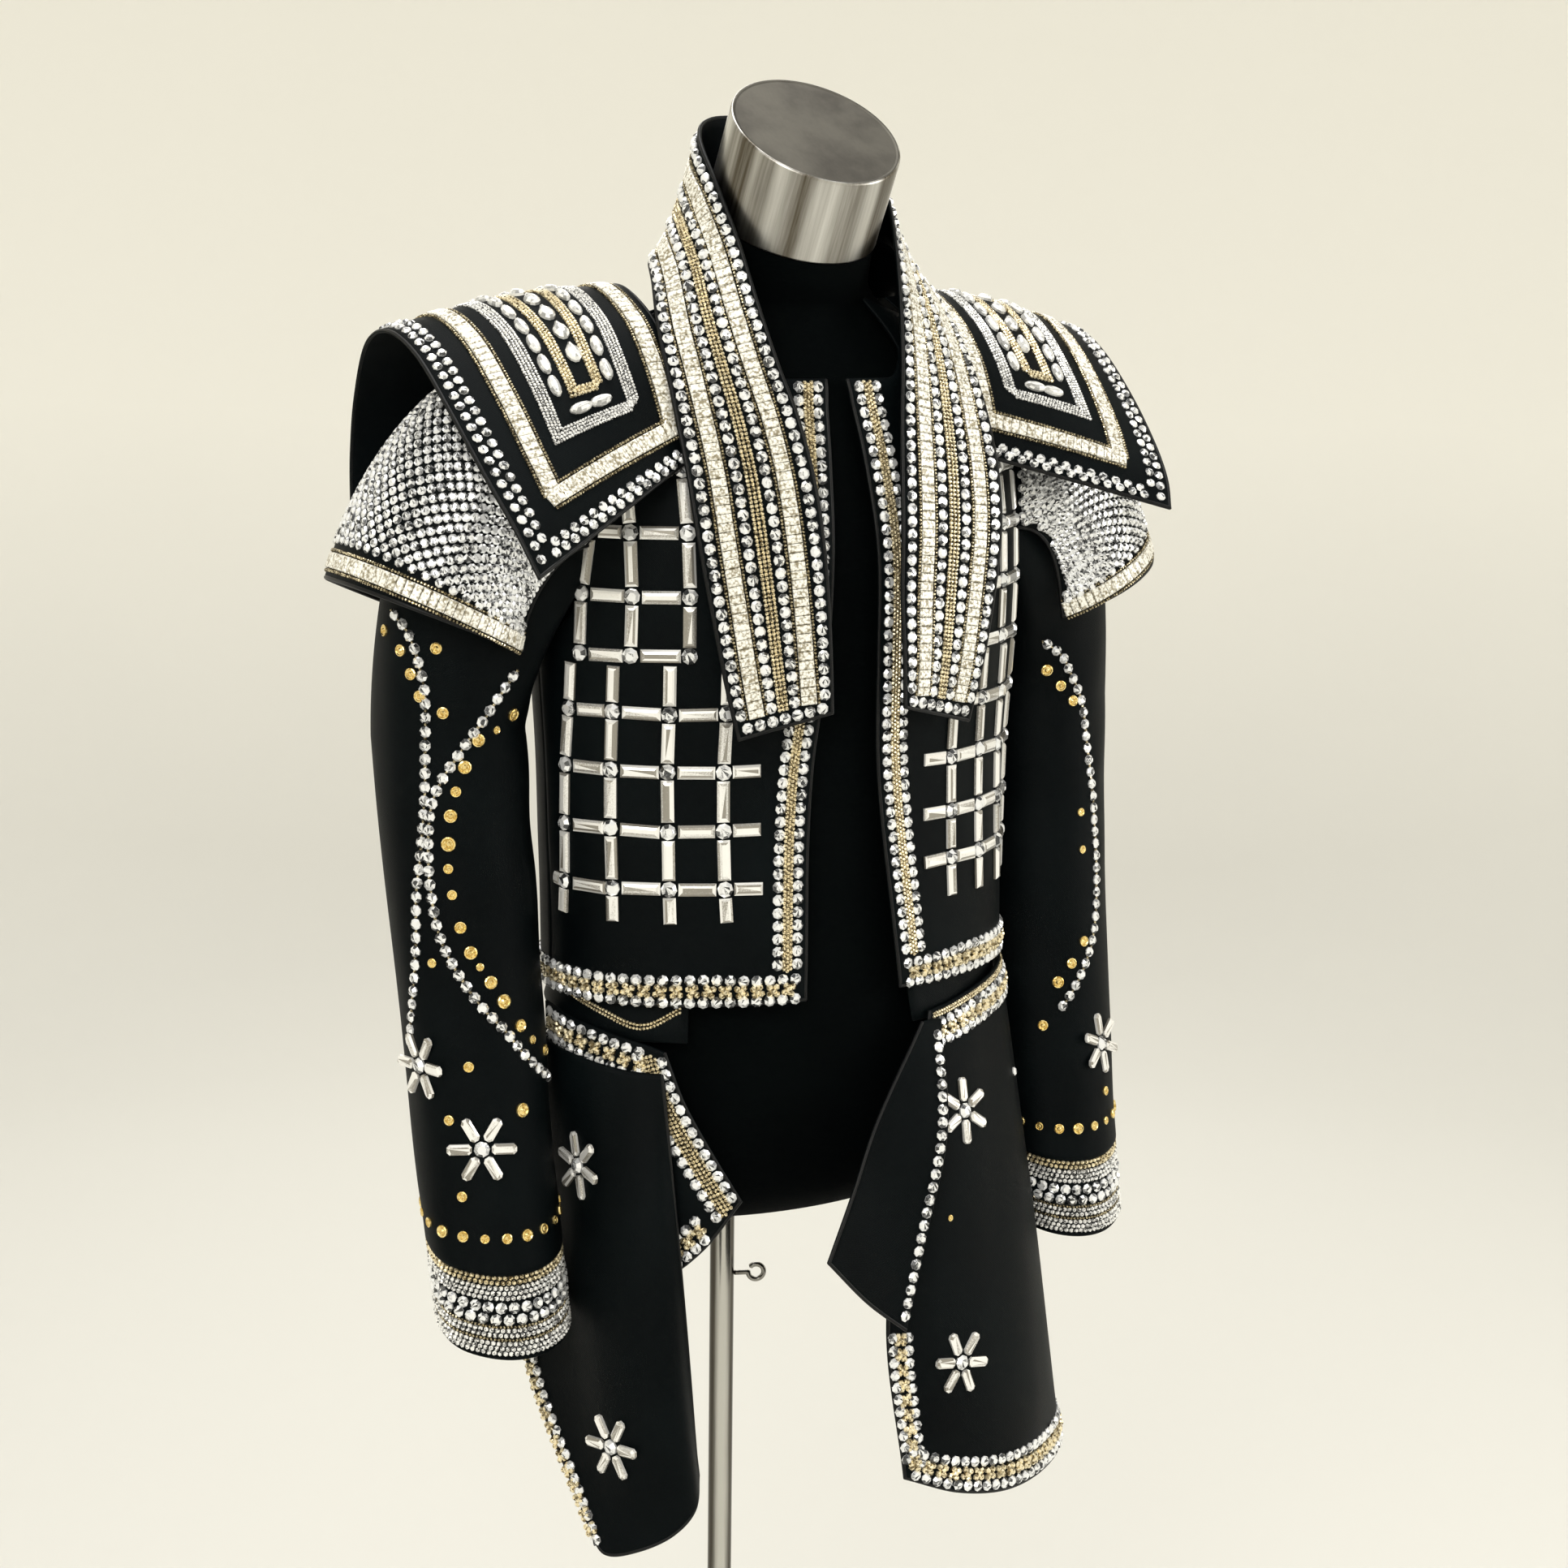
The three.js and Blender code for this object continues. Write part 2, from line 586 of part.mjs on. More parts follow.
function sleeve(side) {
  const around = steps(20).slice(0, 20);
  const down = [0, 0.07, 0.14, 0.22, 0.3, 0.4, 0.52, 0.64, 0.76, 0.88, 1];
  const place = (u, w) => {
    const p = sleevePoint(side > 0 ? u : 1 - u, 1 - w);
    p.x *= side;
    p.z += SLEEVE_RISE[sideName(side)] * clamp01(1 - w - SLEEVE_BEND);
    return p;
  };
  const normal = (u, w) => {
    if (w < 0.9999) return null;
    const n = armholeOut(side > 0 ? u : 1 - u);
    n.x *= side;
    return n;
  };
  const rows = down.map((v) => 1 - v).reverse();
  const geometry = wall(place, around, rows, { closed: true, thick: SLEEVE_WALL, normal });
  add(`sleeve_${sideName(side)}`, geometry, "crepe");
}

// Cuff at the wrist, end to end with the sleeve
function cuff(side) {
  const last = SLEEVE[SLEEVE.length - 1];
  const place = (u, w) => {
    const v = 1 - w;
    const row = { ...last, x: last.x + CUFF_STEP.x * v, y: last.y + CUFF_STEP.y * v };
    row.z = last.z - SEAM_GAP - 0.7 + CUFF_STEP.z * v;
    row.z += SLEEVE_RISE[sideName(side)] * (1 - SLEEVE_BEND);
    const p = sleeveRing(row, side > 0 ? u : 1 - u, 0.2);
    p.x *= side;
    return p;
  };
  const bands = [0, 0.08, 0.4, 0.45, 0.62, 0.67, 0.93, 1];
  const high = [0, CUFF_EASE, CUFF_EASE, 0.6, 0.6, CUFF_EASE, CUFF_EASE, 0];
  const raise = (u, w) => high[bands.findIndex((b) => Math.abs(b - w) < 1e-6)];
  const around = steps(20).slice(0, 20);
  add(`cuff_${sideName(side)}`, wall(place, around, bands, { closed: true, raise }), "crepe");
}

// Cap sleeve over the long one, open under the arm
function capPoint(share, v) {
  const turn = mix(CAP_FROM.armhole, 1 - CAP_FROM.armhole, share);
  const from = armholePoint(turn).addScaledVector(armholeOut(turn), CLOTH + CAP_OFFSET);
  from.x += 0.6;
  const angle = mix(CAP_FROM.hem, 1 - CAP_FROM.hem, share) * 2 * Math.PI;
  const across = -Math.cos(angle) * CAP_HEM.wide;
  const along = Math.sign(Math.sin(angle)) * Math.abs(Math.sin(angle)) ** 0.8 * CAP_HEM.deep;
  const hem = new THREE.Vector3(CAP_HEM.x + across, CAP_HEM.y - along, 0);
  hem.z = CAP_HEM.z + across * CAP_HEM.tilt;
  const high = (1 - Math.cos(angle)) / 2;
  const leave = new THREE.Vector3(0.5 + 0.5 * high, -0.35 * Math.sin(angle), 0).normalize();
  const arrive = new THREE.Vector3(0.3 * high, -0.2 * Math.sin(angle), -1).normalize();
  return bend(from, leave, hem, arrive, v);
}

function capSleeve(side) {
  const rows = [0, 0.02, 0.11, 0.13, 0.34, 0.56, 0.78, 1];
  const raise = (u, w) => (w > 0.015 && w < 0.12 ? BEAD_ROW_HEIGHT : 0);
  const place = (u, w) => {
    const p = capPoint(side > 0 ? u : 1 - u, 1 - w);
    p.x *= side;
    return p;
  };
  const normal = (u, w) => {
    if (w < 0.9999) return null;
    const share = side > 0 ? u : 1 - u;
    const n = armholeOut(mix(CAP_FROM.armhole, 1 - CAP_FROM.armhole, share));
    n.x *= side;
    return n;
  };
  add(`cap_sleeve_${sideName(side)}`, wall(place, steps(18), rows, { raise, normal }), "crepe");
}

// Waist band under the cropped hem, open at the centre front, which carries the skirt pieces
const BAND = { sideTop: 144, sideLow: 150, frontTop: 88.5, frontLow: 97.5, centre: -68 };
const BAND_ENDS = { right: 41, left: 17 };

function bandPoint(degrees, grow, v) {
  const angle = THREE.MathUtils.degToRad(degrees);
  const wide = mix(BAND.sideLow, BAND.sideTop, v) + grow;
  const deep = mix(BAND.frontLow, BAND.frontTop, v) + grow;
  return new THREE.Vector3(wide * Math.sin(angle), BAND.centre - deep * Math.cos(angle), 0);
}

function waistBand() {
  const point = (u, v) => {
    const degrees = mix(BAND_ENDS.left, 360 - BAND_ENDS.right, u);
    const p = bandPoint(degrees, 0, v);
    const low = 1008 + 10 * clamp01((p.y - BAND.centre + 40) / 60);
    p.z = mix(low, 1040, v);
    return p;
  };
  add("waist_band", wall(point, steps(40), [0, 0.5, 1]), "crepe");
}

// Skirt pieces hung from the band
function foldedPoint(table, seat) {
  const tops = table.map(({ angle, top }) => {
    const p = bandPoint(angle, seat, 0);
    p.x *= table === PEPLUM_RIGHT || table === TAIL_RIGHT ? -1 : 1;
    p.z = top;
    return p;
  });
  return (u, v) => {
    const line = ["hem", "low", "middle"].map((key) => through(table.map((row) => vector(row[key])), u));
    line.push(through(tops, u));
    return new THREE.CatmullRomCurve3(line, false, "catmullrom", 0.5).getPoint(clamp01(v));
  };
}

function skirtPiece(name, table, seat, across, down) {
  add(name, wall(foldedPoint(table, seat), steps(across), steps(down)), "crepe");
}

// Dress form
function formRing(row, count) {
  const lean = THREE.MathUtils.degToRad(row.lean);
  return Array.from({ length: count }, (_, i) => {
    const angle = (i / count) * 2 * Math.PI;
    const [c, s] = [Math.cos(angle), Math.sin(angle)];
    const sign = (value) => Math.sign(value) * Math.abs(value) ** (2 / row.power);
    const deep = s < 0 ? row.front : row.back;
    const away = sign(s) * deep;
    const y = row.centre + away * Math.cos(lean);
    return new THREE.Vector3(sign(c) * row.side, y, row.z + away * Math.sin(lean));
  });
}

function dressForm() {
  const keys = ["side", "front", "back", "centre", "power", "lean"];
  const heights = FORM.flatMap((row, i) => {
    const next = FORM[i + 1];
    return next && next.z - row.z > 40 ? [row.z, (row.z + next.z) / 2] : [row.z];
  });
  const rings = heights.map((z) => {
    const row = { z };
    keys.forEach((key) => { row[key] = column(FORM, key, z); });
    return formRing(row, 30);
  });
  add("form_body", loft(rings), "jersey");
}

function neckCap() {
  const rings = [
    { z: 1475.3, centre: -76.2, radius: CAP_RADIUS - 0.8, lean: 30 },
    { z: 1476.3, centre: -76.7, radius: CAP_RADIUS, lean: 30 },
    { z: 1499, centre: -89.5, radius: CAP_RADIUS, lean: 33 },
    { z: 1523.4, centre: -103.3, radius: CAP_RADIUS, lean: 37 },
    { z: 1524.6, centre: -104, radius: CAP_RADIUS - 1, lean: 37 },
  ].map(({ z, centre, radius, lean }) => {
    const row = { z, centre, lean, side: radius, front: radius, back: radius, power: 2 };
    return formRing(row, 40);
  });
  add("neck_cap", loft(rings), "steel");
}

// Stand
function pole() {
  const length = POLE_TOP - BASE_EDGE - SEAM_GAP - 4;
  const geometry = new THREE.CylinderGeometry(POLE_RADIUS, POLE_RADIUS, length, 24);
  const mesh = add("pole", geometry, "chrome");
  mesh.rotation.x = Math.PI / 2;
  mesh.position.z = POLE_TOP - length / 2;
}

function poleScrew() {
  const stem = 9;
  const ring = 5.2;
  const wire = 1.7;
  const points = [];
  for (let i = 0; i <= 12; i += 1) {
    const angle = Math.PI + (i / 12) * 1.75 * Math.PI;
    points.push(new THREE.Vector3(stem + ring + ring * Math.cos(angle), 0, ring * Math.sin(angle)));
  }
  points.unshift(new THREE.Vector3(0, 0, 0));
  const path = new THREE.CatmullRomCurve3(points);
  const section = new THREE.Shape();
  section.absarc(0, 0, wire, 0, 2 * Math.PI);
  const geometry = new THREE.ExtrudeGeometry(section, {
    steps: 18, curveSegments: 4, extrudePath: path, bevelEnabled: false,
  });
  const mesh = add("pole_screw", geometry, "chrome");
  mesh.rotation.z = THREE.MathUtils.degToRad(-20);
  const away = POLE_RADIUS + SEAM_GAP + 0.2;
  const angle = mesh.rotation.z;
  mesh.position.set(away * Math.cos(angle), away * Math.sin(angle), SCREW_HEIGHT);
}

function base() {
  const bore = POLE_RADIUS + SEAM_GAP;
  const floor = BASE_EDGE - 2;
  const profile = [
    [0, 0], [BASE_RADIUS - 2, 0], [BASE_RADIUS, 1.5], [BASE_RADIUS, 4.5], [BASE_RADIUS - 3, 6],
    [60, 9], [SOCKET_RADIUS + 6, 12], [SOCKET_RADIUS, 17], [SOCKET_RADIUS, SOCKET_HEIGHT - 2],
    [SOCKET_RADIUS - 2, SOCKET_HEIGHT], [bore, SOCKET_HEIGHT], [bore, floor], [0, floor],
  ].map(([radius, height]) => new THREE.Vector2(radius, height));
  const mesh = add("stand_base", new THREE.LatheGeometry(profile, 36), "steel");
  mesh.rotation.x = Math.PI / 2;
}

for (const side of [-1, 1]) {
  front(side);
  saddle(side);
  sleeve(side);
  cuff(side);
  capSleeve(side);
}
back();
collar();
waistBand();
skirtPiece("peplum_right", PEPLUM_RIGHT, RIGHT_SEAT, 8, 6);
skirtPiece("tail_right", TAIL_RIGHT, OVER_SEAT, 12, 9);
skirtPiece("tail_left", TAIL_LEFT, LEFT_SEAT, 12, 9);
skirtPiece("flap_left", FLAP_LEFT, FLAP_SEAT, 4, 6);
dressForm();
neckCap();
pole();
poleScrew();
base();

export default part;
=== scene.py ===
"""Looks of a cropped blazer worn on a limbless dress form: cloth, crystal trim, form and stand.

Shapes are worked out in millimetres, with +Z up, the front facing -Y and +X the wearer's left,
and are written into the meshes in metres.
"""
import bpy
import numpy as np
from mathutils import Matrix


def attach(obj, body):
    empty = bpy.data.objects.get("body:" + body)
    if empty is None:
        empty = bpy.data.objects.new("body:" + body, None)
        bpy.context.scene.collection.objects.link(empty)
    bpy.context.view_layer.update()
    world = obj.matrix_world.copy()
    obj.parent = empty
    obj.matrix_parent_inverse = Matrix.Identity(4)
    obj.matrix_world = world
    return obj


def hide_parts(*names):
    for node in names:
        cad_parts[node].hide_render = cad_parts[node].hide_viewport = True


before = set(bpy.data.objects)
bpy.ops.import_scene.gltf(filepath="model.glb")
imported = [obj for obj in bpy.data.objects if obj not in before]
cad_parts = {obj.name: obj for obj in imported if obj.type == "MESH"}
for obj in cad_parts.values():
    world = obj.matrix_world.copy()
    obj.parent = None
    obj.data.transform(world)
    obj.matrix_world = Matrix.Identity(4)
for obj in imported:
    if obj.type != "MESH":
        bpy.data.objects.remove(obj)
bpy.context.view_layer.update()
MM = 0.001

# Sections of the garment's body: height, half width, depth to the front and back, centre, power
TORSO = np.array([
    [1000, 151, 98, 95, -68, 2.1], [1033, 151, 96, 95, -68, 2.1], [1080, 151, 93, 96, -67, 2.1],
    [1120, 152, 90, 96, -66, 2.1], [1170, 153, 89, 97, -65, 2.1], [1230, 156, 94, 98, -64, 2.1],
    [1290, 158, 95, 98, -62, 2.1], [1340, 157, 85, 95, -61, 2.0], [1370, 154, 77, 90, -60, 1.95],
    [1386, 152, 73, 85, -60, 1.9], [1400, 148, 61, 76, -60, 1.8], [1416, 112, 52, 62, -60, 1.8],
    [1434, 70, 42, 48, -60, 1.8], [1446, 52, 36, 40, -60, 1.8],
])
# Sections of the dress form: height, half width, depth to the front and back, centre, power, lean
FORM = np.array([
    [882, 98, 50, 78, -62, 2, 0], [887, 116, 64, 82, -63, 2, 0], [906, 133, 80, 84, -65, 2, 0],
    [942, 140, 86, 85, -67, 2, 0], [985, 140, 85, 84, -68, 2, 0], [1033, 136, 82, 83, -68, 2, 0],
    [1120, 130, 80, 85, -66, 2, 0], [1170, 132, 80, 88, -65, 2.1, 0],
    [1230, 143, 85, 91, -64, 2.1, 0], [1290, 150, 87, 92, -62, 2.1, 0],
    [1340, 151, 78, 89, -61, 2.0, 0], [1370, 149, 71, 84, -60, 1.95, 0],
    [1386, 146, 64, 79, -60, 1.75, 0], [1398, 138, 56, 70, -60, 1.6, 0],
    [1411, 106, 49, 57, -60, 1.5, 0], [1426, 71, 45, 46, -62, 1.6, 3],
    [1441, 54, 46, 44, -66, 1.9, 12], [1456, 50, 49, 47, -70, 2, 22],
    [1475, 50, 50, 50, -76, 2, 30],
])
# Where each front ends at its centre edge: height, right, left
CENTRE_EDGE = np.array([
    [1033, 31, 33], [1100, 28, 26], [1160, 24, 20], [1230, 17, 16], [1290, 14, 15],
    [1350, 10, 11], [1386, 7, 6],
])
# Half width of the body where the armhole cuts it: height, half width
ARMHOLE = np.array([
    [1236, 156.2], [1246, 153], [1262, 147.5], [1285, 143.5], [1320, 141.5], [1350, 142],
    [1375, 144.5], [1390, 147], [1399, 149],
])
COLLAR_OUTER = np.array([
    [77, -162, 1187], [86, -162, 1222], [94, -160, 1262], [100, -156, 1300], [102, -148, 1332],
    [102.5, -135, 1362], [101.5, -120, 1389], [99, -102, 1414], [92, -80, 1438],
    [82, -54, 1450], [64, -29, 1446], [36, -14.7, 1438], [0, -9.7, 1435],
])
COLLAR_INNER = np.array([
    [24, -176, 1201], [24, -174, 1230], [24, -170, 1264], [26, -166, 1300], [29, -159, 1334],
    [34, -149, 1366], [41, -137, 1396], [47, -124, 1428], [52, -109, 1462], [56, -89, 1494],
    [53, -60, 1521], [33, -33, 1533], [0, -22, 1536],
])
SADDLE_INNER = np.array([
    [95, -133.6, 1342], [95, -127.6, 1361], [95, -119.6, 1381], [95, -107.6, 1401],
    [95, -85.6, 1421], [96, -48, 1437], [96, -14, 1432], [95, 6, 1410], [95, 17, 1378],
    [95, 24, 1345],
])
SADDLE_OUTER = np.array([
    [207, -181, 1296], [214, -166, 1317], [221, -142, 1341], [227, -107, 1372], [231, -70, 1399],
    [235, -36, 1411], [236, -4, 1403], [234, 22, 1372], [231, 39, 1338], [229, 46, 1306],
])
# Long sleeve: height, across, depth, half width, half depth, lean in degrees
SLEEVE = np.array([
    [1180, 203, -42, 42, 47, 0], [1100, 202, -52, 41, 45, 6], [1005, 200, -67, 39.5, 43, 10],
    [940, 199, -79, 38.5, 41, 12], [890, 198, -90, 38, 40, 13],
])
# Folds of the skirt pieces: angle and height at the band, then points half way, low and at the hem
PEPLUM_RIGHT = (
    (92, 1020, (-151, -62, 960), (-149, -70, 905), (-147, -80, 850)),
    (76, 1016, (-147, -95, 958), (-142, -104, 906), (-135, -116, 854)),
    (60, 1010, (-131, -121, 958), (-125, -132, 912), (-116, -144, 866)),
    (50, 1005, (-115, -138, 962), (-107, -149, 926), (-96, -161, 888)),
    (46, 1002, (-103, -147, 974), (-91, -158, 946), (-76, -169, 916)),
)
TAIL_RIGHT = (
    (100, 1002, (-158, -40, 895), (-170, -66, 806), (-162, -146, 720)),
    (84, 998, (-154, -84, 892), (-158, -112, 800), (-158, -158, 709)),
    (68, 994, (-152, -124, 890), (-152, -148, 796), (-142, -172, 714)),
    (57, 991, (-141, -152, 890), (-138, -170, 798), (-124, -181, 724)),
    (50, 990, (-124, -163, 893), (-119, -176, 802), (-110, -181, 737)),
    (46, 990, (-111, -158, 898), (-105, -165, 810), (-101, -167, 750)),
)
TAIL_LEFT = (
    (21, 1012, (34, -186, 930), (8, -198, 840), (16, -208, 739)),
    (28, 1014, (59, -184, 930), (42, -200, 838), (52, -212, 724)),
    (40, 1018, (90, -173, 932), (84, -192, 836), (92, -206, 714)),
    (53, 1021, (125, -152, 934), (128, -170, 836), (134, -184, 708)),
    (68, 1024, (149, -120, 934), (157, -136, 838), (172, -148, 704)),
    (84, 1025, (153, -84, 934), (154, -98, 838), (178, -116, 714)),
)
FLAP_LEFT = (
    (17, 1008, (4, -188, 960), (-21, -203, 922), (-42, -213, 888)),
    (20, 1008, (26, -194, 956), (3, -206, 906), (-17, -216, 860)),
    (23, 1007, (46, -198, 950), (26, -209, 890), (9, -217, 838)),
)
# Bars on the fronts, in two blocks: heights of the rows, half widths of the columns and of the rows' ends
LATTICE_RIGHT = (
    ((1337, 1302, 1267, 1233), (97, 125, 146), (84, 150)),
    ((1200, 1166, 1132, 1098), (76.5, 106.5, 132.5, 149), (51, 151)),
)
LATTICE_LEFT = (
    ((1333, 1299, 1265, 1231), (95, 120, 144), (80, 150)),
    ((1196, 1163, 1130, 1102), (76, 102, 125, 146), (49, 151)),
)
LATTICE_FOOT = 1073
# Sleeve rows as shares round the arm and up from the wrist; studs with their sizes, stars with their turns
CURVE_RIGHT = (
    (0.196, 0.745), (0.217, 0.692), (0.242, 0.650), (0.287, 0.604), (0.333, 0.571), (0.362, 0.537),
    (0.373, 0.490), (0.372, 0.450), (0.362, 0.417), (0.338, 0.392), (0.292, 0.362), (0.242, 0.338),
    (0.175, 0.300), (0.085, 0.262),
)
BACK_CURVE_RIGHT = (
    (0.455, 0.710), (0.408, 0.700), (0.378, 0.675), (0.364, 0.642), (0.368, 0.571), (0.388, 0.492),
    (0.402, 0.454), (0.425, 0.379), (0.475, 0.304),
)
CURVE_LEFT = (
    (0.171, 0.746), (0.217, 0.683), (0.237, 0.646), (0.263, 0.604), (0.280, 0.562), (0.308, 0.467),
    (0.321, 0.417), (0.312, 0.362), (0.279, 0.325), (0.192, 0.263),
)
STUDS_RIGHT = (
    (0.175, 0.662, 1.0), (0.217, 0.629, 0.62), (0.258, 0.613, 1.0), (0.287, 0.583, 1.0), (0.308, 0.558, 0.8),
    (0.321, 0.533, 1.0), (0.329, 0.504, 1.1), (0.333, 0.479, 0.75), (0.329, 0.454, 0.75), (0.317, 0.425, 0.9),
    (0.300, 0.404, 1.0), (0.283, 0.392, 0.6), (0.263, 0.379, 1.0), (0.237, 0.362, 1.1), (0.200, 0.338, 1.0),
    (0.167, 0.321, 0.7), (0.110, 0.300, 0.9), (0.479, 0.692, 0.9), (0.421, 0.683, 0.9), (0.396, 0.667, 0.9),
    (0.376, 0.650, 0.9), (0.350, 0.700, 0.9), (0.329, 0.640, 0.9), (0.383, 0.392, 0.7), (0.325, 0.304, 0.8),
    (0.212, 0.250, 1.1), (0.379, 0.237, 0.8), (0.367, 0.129, 0.8),
)
STUDS_LEFT = (
    (0.179, 0.671, 1.0), (0.212, 0.629, 0.9), (0.242, 0.600, 0.9), (0.267, 0.342, 0.9), (0.229, 0.321, 0.9),
    (0.192, 0.300, 1.0), (0.262, 0.470, 0.7), (0.268, 0.430, 0.7), (0.150, 0.240, 0.9), (0.330, 0.120, 0.8),
)
STARS_RIGHT = ((0.312, 0.204, 0.45), (0.440, 0.292, 0.4))
STARS_LEFT = ((0.321, 0.204, 0.2),)
# Chain at the right end of the waist band: shares round it and up it
WAIST_LINE = ((0.78, 0.74), (0.846, 0.62), (0.914, 0.40), (0.959, 0.2), (0.995, 0.53))
# Neck drum: height, centre, inset from the drum's radius, lean
DRUM_RINGS = (
    (1475.3, -76.2, 0.9, 30), (1475.6, -76.4, 0.2, 30), (1476.4, -76.7, 0, 30), (1488, -83, 0, 31.5),
    (1499, -89.5, 0, 33), (1511, -96.4, 0, 35), (1523.2, -103.2, 0, 37), (1524.2, -103.8, 0.3, 37),
    (1524.8, -104.1, 1.1, 37), (1524.4, -103.9, 2.2, 37), (1524.3, -103.9, 3.0, 37),
)
# Foot of the stand: radius and height
BASE_PROFILE = (
    (148, 0), (149.2, 0.4), (150, 1.5), (150, 4.5), (149.2, 5.4), (147, 6), (100, 7.6), (60, 9), (36, 10.4),
    (26, 11.6), (21, 13.4), (18.2, 16), (17, 19.5), (17, 43.6), (16.5, 45.2), (15, 46), (9.4, 46), (8.5, 45),
    (8.4, 20),
)
# Lights: name, place, height of the point they face, size, power, tone
LIGHTS = (
    ("key", (-2.0, -2.4, 3.1), 1.15, 1.8, 60, (1.0, 0.985, 0.96)),
    ("fill", (2.6, -1.8, 1.9), 1.1, 1.6, 30, (1.0, 0.99, 0.97)),
    ("over", (0.2, 0.4, 3.6), 1.2, 1.6, 30, (1.0, 0.99, 0.97)),
    ("behind", (1.5, 2.8, 2.2), 1.3, 1.6, 22, (1.0, 0.99, 0.97)),
)
# Camera: frame and focal length in pixels, place in metres, angles in radians
PHOTO_SIZE = 1932
FOCAL_PIXELS = 3148
CAMERA_PLACE = (-0.7375, -1.4098, 1.4452)
YAW, PITCH, ROLL = np.radians([-28.94, 11.32, 0.76])
# Cloth and body
CLOTH = 2.0
STAND_CLOTH = 1.2
SEAM_GAP = 0.3
HEM_HEIGHT = 1030
FRONT_TOP = 1386
NECK_START = 38
NECK_POINT = 70
NECK_POINT_HEIGHT = 1434
SHOULDER_POINT = 149
NECK_MIDDLE = -61
NECK_OVAL = (76, 48.5)
STAND_FOOT = 1431
ARM_MIDDLE = (150, NECK_MIDDLE, 1318)
SLEEVE_EASE = 2
SLEEVE_BEND = 0.4
CAP_OFFSET = 0.8
CAP_MIDDLE = (216, -46, 1250)
CAP_ACROSS, CAP_ALONG = 55, 69
BAND_MIDDLE = -68
BAND_WIDE, BAND_DEEP = (150, 144), (97.5, 88.5)
# Trims: pitches along a row, steps between rows, turns in radians, and the radius and place of sewn cord
EDGE_PITCH, GEM_PITCH, COLLAR_PITCH, SADDLE_PITCH = 7.6, 7.8, 7.3, 8.0
SEED_PITCH, LINK_PITCH, CUFF_PITCH, BLOCK_PITCH = 2.4, 2.0, 3.2, 5.05
MESH_STEP = 2.1
GEM_TURN, FLORET_TURN, NET_TURN = 0.4, 0.3, 0.4
RIBBON_HALF = 5.9
RIBBON_REACH = 4.6
NET_PITCH = 8.4
NET_START = 22.5
STAR_REACH = 12.8
FLORET_REACH = 0.75 * 2.7
BAR_LENGTH = 23
BAR_GAP = 10.4
STONE_FOOT = (0, -0.3)
CORD, CAP_CORD, SKIRT_CORD, SEAM_CORD = 1.25, 1.3, 1.2, 0.7
CORD_INSET, CORD_SINK, SEAM_SINK = 0.6, 0.9, 0.35
# Stand
CAP_RADIUS = 51
DRUM_LEAN = np.radians(29.3)
POLE_RADIUS = 8
POLE_EDGE = 0.8
POLE_FOOT = 10.3
POLE_TOP = 881.7
SCREW_HEIGHT = 797
SCREW_TURN = np.radians(-20)
SCREW_SHANK, EYE_RADIUS, SCREW_WIRE = 9, 5.2, 1.7
FLOOR = -0.5
# Pitch of the crepe's threads, in metres
THREAD = 0.0011


# Shape rules shared by all pieces
def mix(a, b, t):
    """a + (b - a) t."""
    return a + (b - a) * t


def smooth(t):
    """0 below 0, 1 above 1, and 3t^2 - 2t^3 between."""
    t = np.clip(t, 0, 1)
    return t * t * (3 - 2 * t)


def unit(v):
    """Directions made one long."""
    return v / np.maximum(np.linalg.norm(v, axis=-1, keepdims=True), 1e-9)


def at_height(table, k, z):
    """Column k of a table at height z: a cubic between rows, with slopes from the rows on both sides."""
    zs, ys = table[:, 0], table[:, k]
    last = len(zs) - 1
    i = np.clip(np.searchsorted(zs, z) - 1, 0, last - 1)

    def slope(j):
        before, after = np.maximum(j - 1, 0), np.minimum(j + 1, last)
        return (ys[after] - ys[before]) / (zs[after] - zs[before])

    span = zs[i + 1] - zs[i]
    t = np.clip((z - zs[i]) / span, 0, 1)
    ends = t * (1 - t) ** 2 * slope(i) - t * t * (1 - t) * slope(i + 1)
    return mix(ys[i], ys[i + 1], t * t * (3 - 2 * t)) + ends * span


def through(points, t):
    """A point at share t of a Catmull-Rom curve through points, one curve, or one for each t."""
    points = np.asarray(points, float)
    t = np.atleast_1d(np.asarray(t, float))
    place = np.clip(t, 0, 1) * (len(points) - 1)
    i = np.minimum(place.astype(int), len(points) - 2)
    w = (place - i)[:, None]
    first, last = 2 * points[:1] - points[1:2], 2 * points[-1:] - points[-2:-1]
    padded = np.concatenate([first, points, last])
    own = (np.arange(len(t)),) if points.ndim == 3 else ()
    a, b, c, d = (padded[(i + k, *own)] for k in range(4))
    bend = (2 * a - 5 * b + 4 * c - d) * w + (3 * b - a - 3 * c + d) * w * w
    return b + 0.5 * w * (c - a + bend)


def shoulder_height(x):
    """The height where the body is just x wide, found by halving the range."""
    low, high = np.full_like(x, FRONT_TOP), np.full_like(x, NECK_POINT_HEIGHT + 12)
    for _ in range(30):
        z = (low + high) / 2
        wider = at_height(TORSO, 1, z) > x
        low, high = np.where(wider, z, low), np.where(wider, high, z)
    return low


def body_point(x, z, face):
    """The body's superellipse |x/side|^p + |y/depth|^p = 1 at a height, on its front or its back."""
    power = at_height(TORSO, 5, z)
    share = np.clip(np.abs(x) / at_height(TORSO, 1, z), 0, 1)
    deep = np.where(face < 0, at_height(TORSO, 2, z), at_height(TORSO, 3, z))
    away = deep * (1 - share ** power) ** (1 / power) + SEAM_GAP / 2
    return np.stack([x, at_height(TORSO, 4, z) + face * away, z], -1)


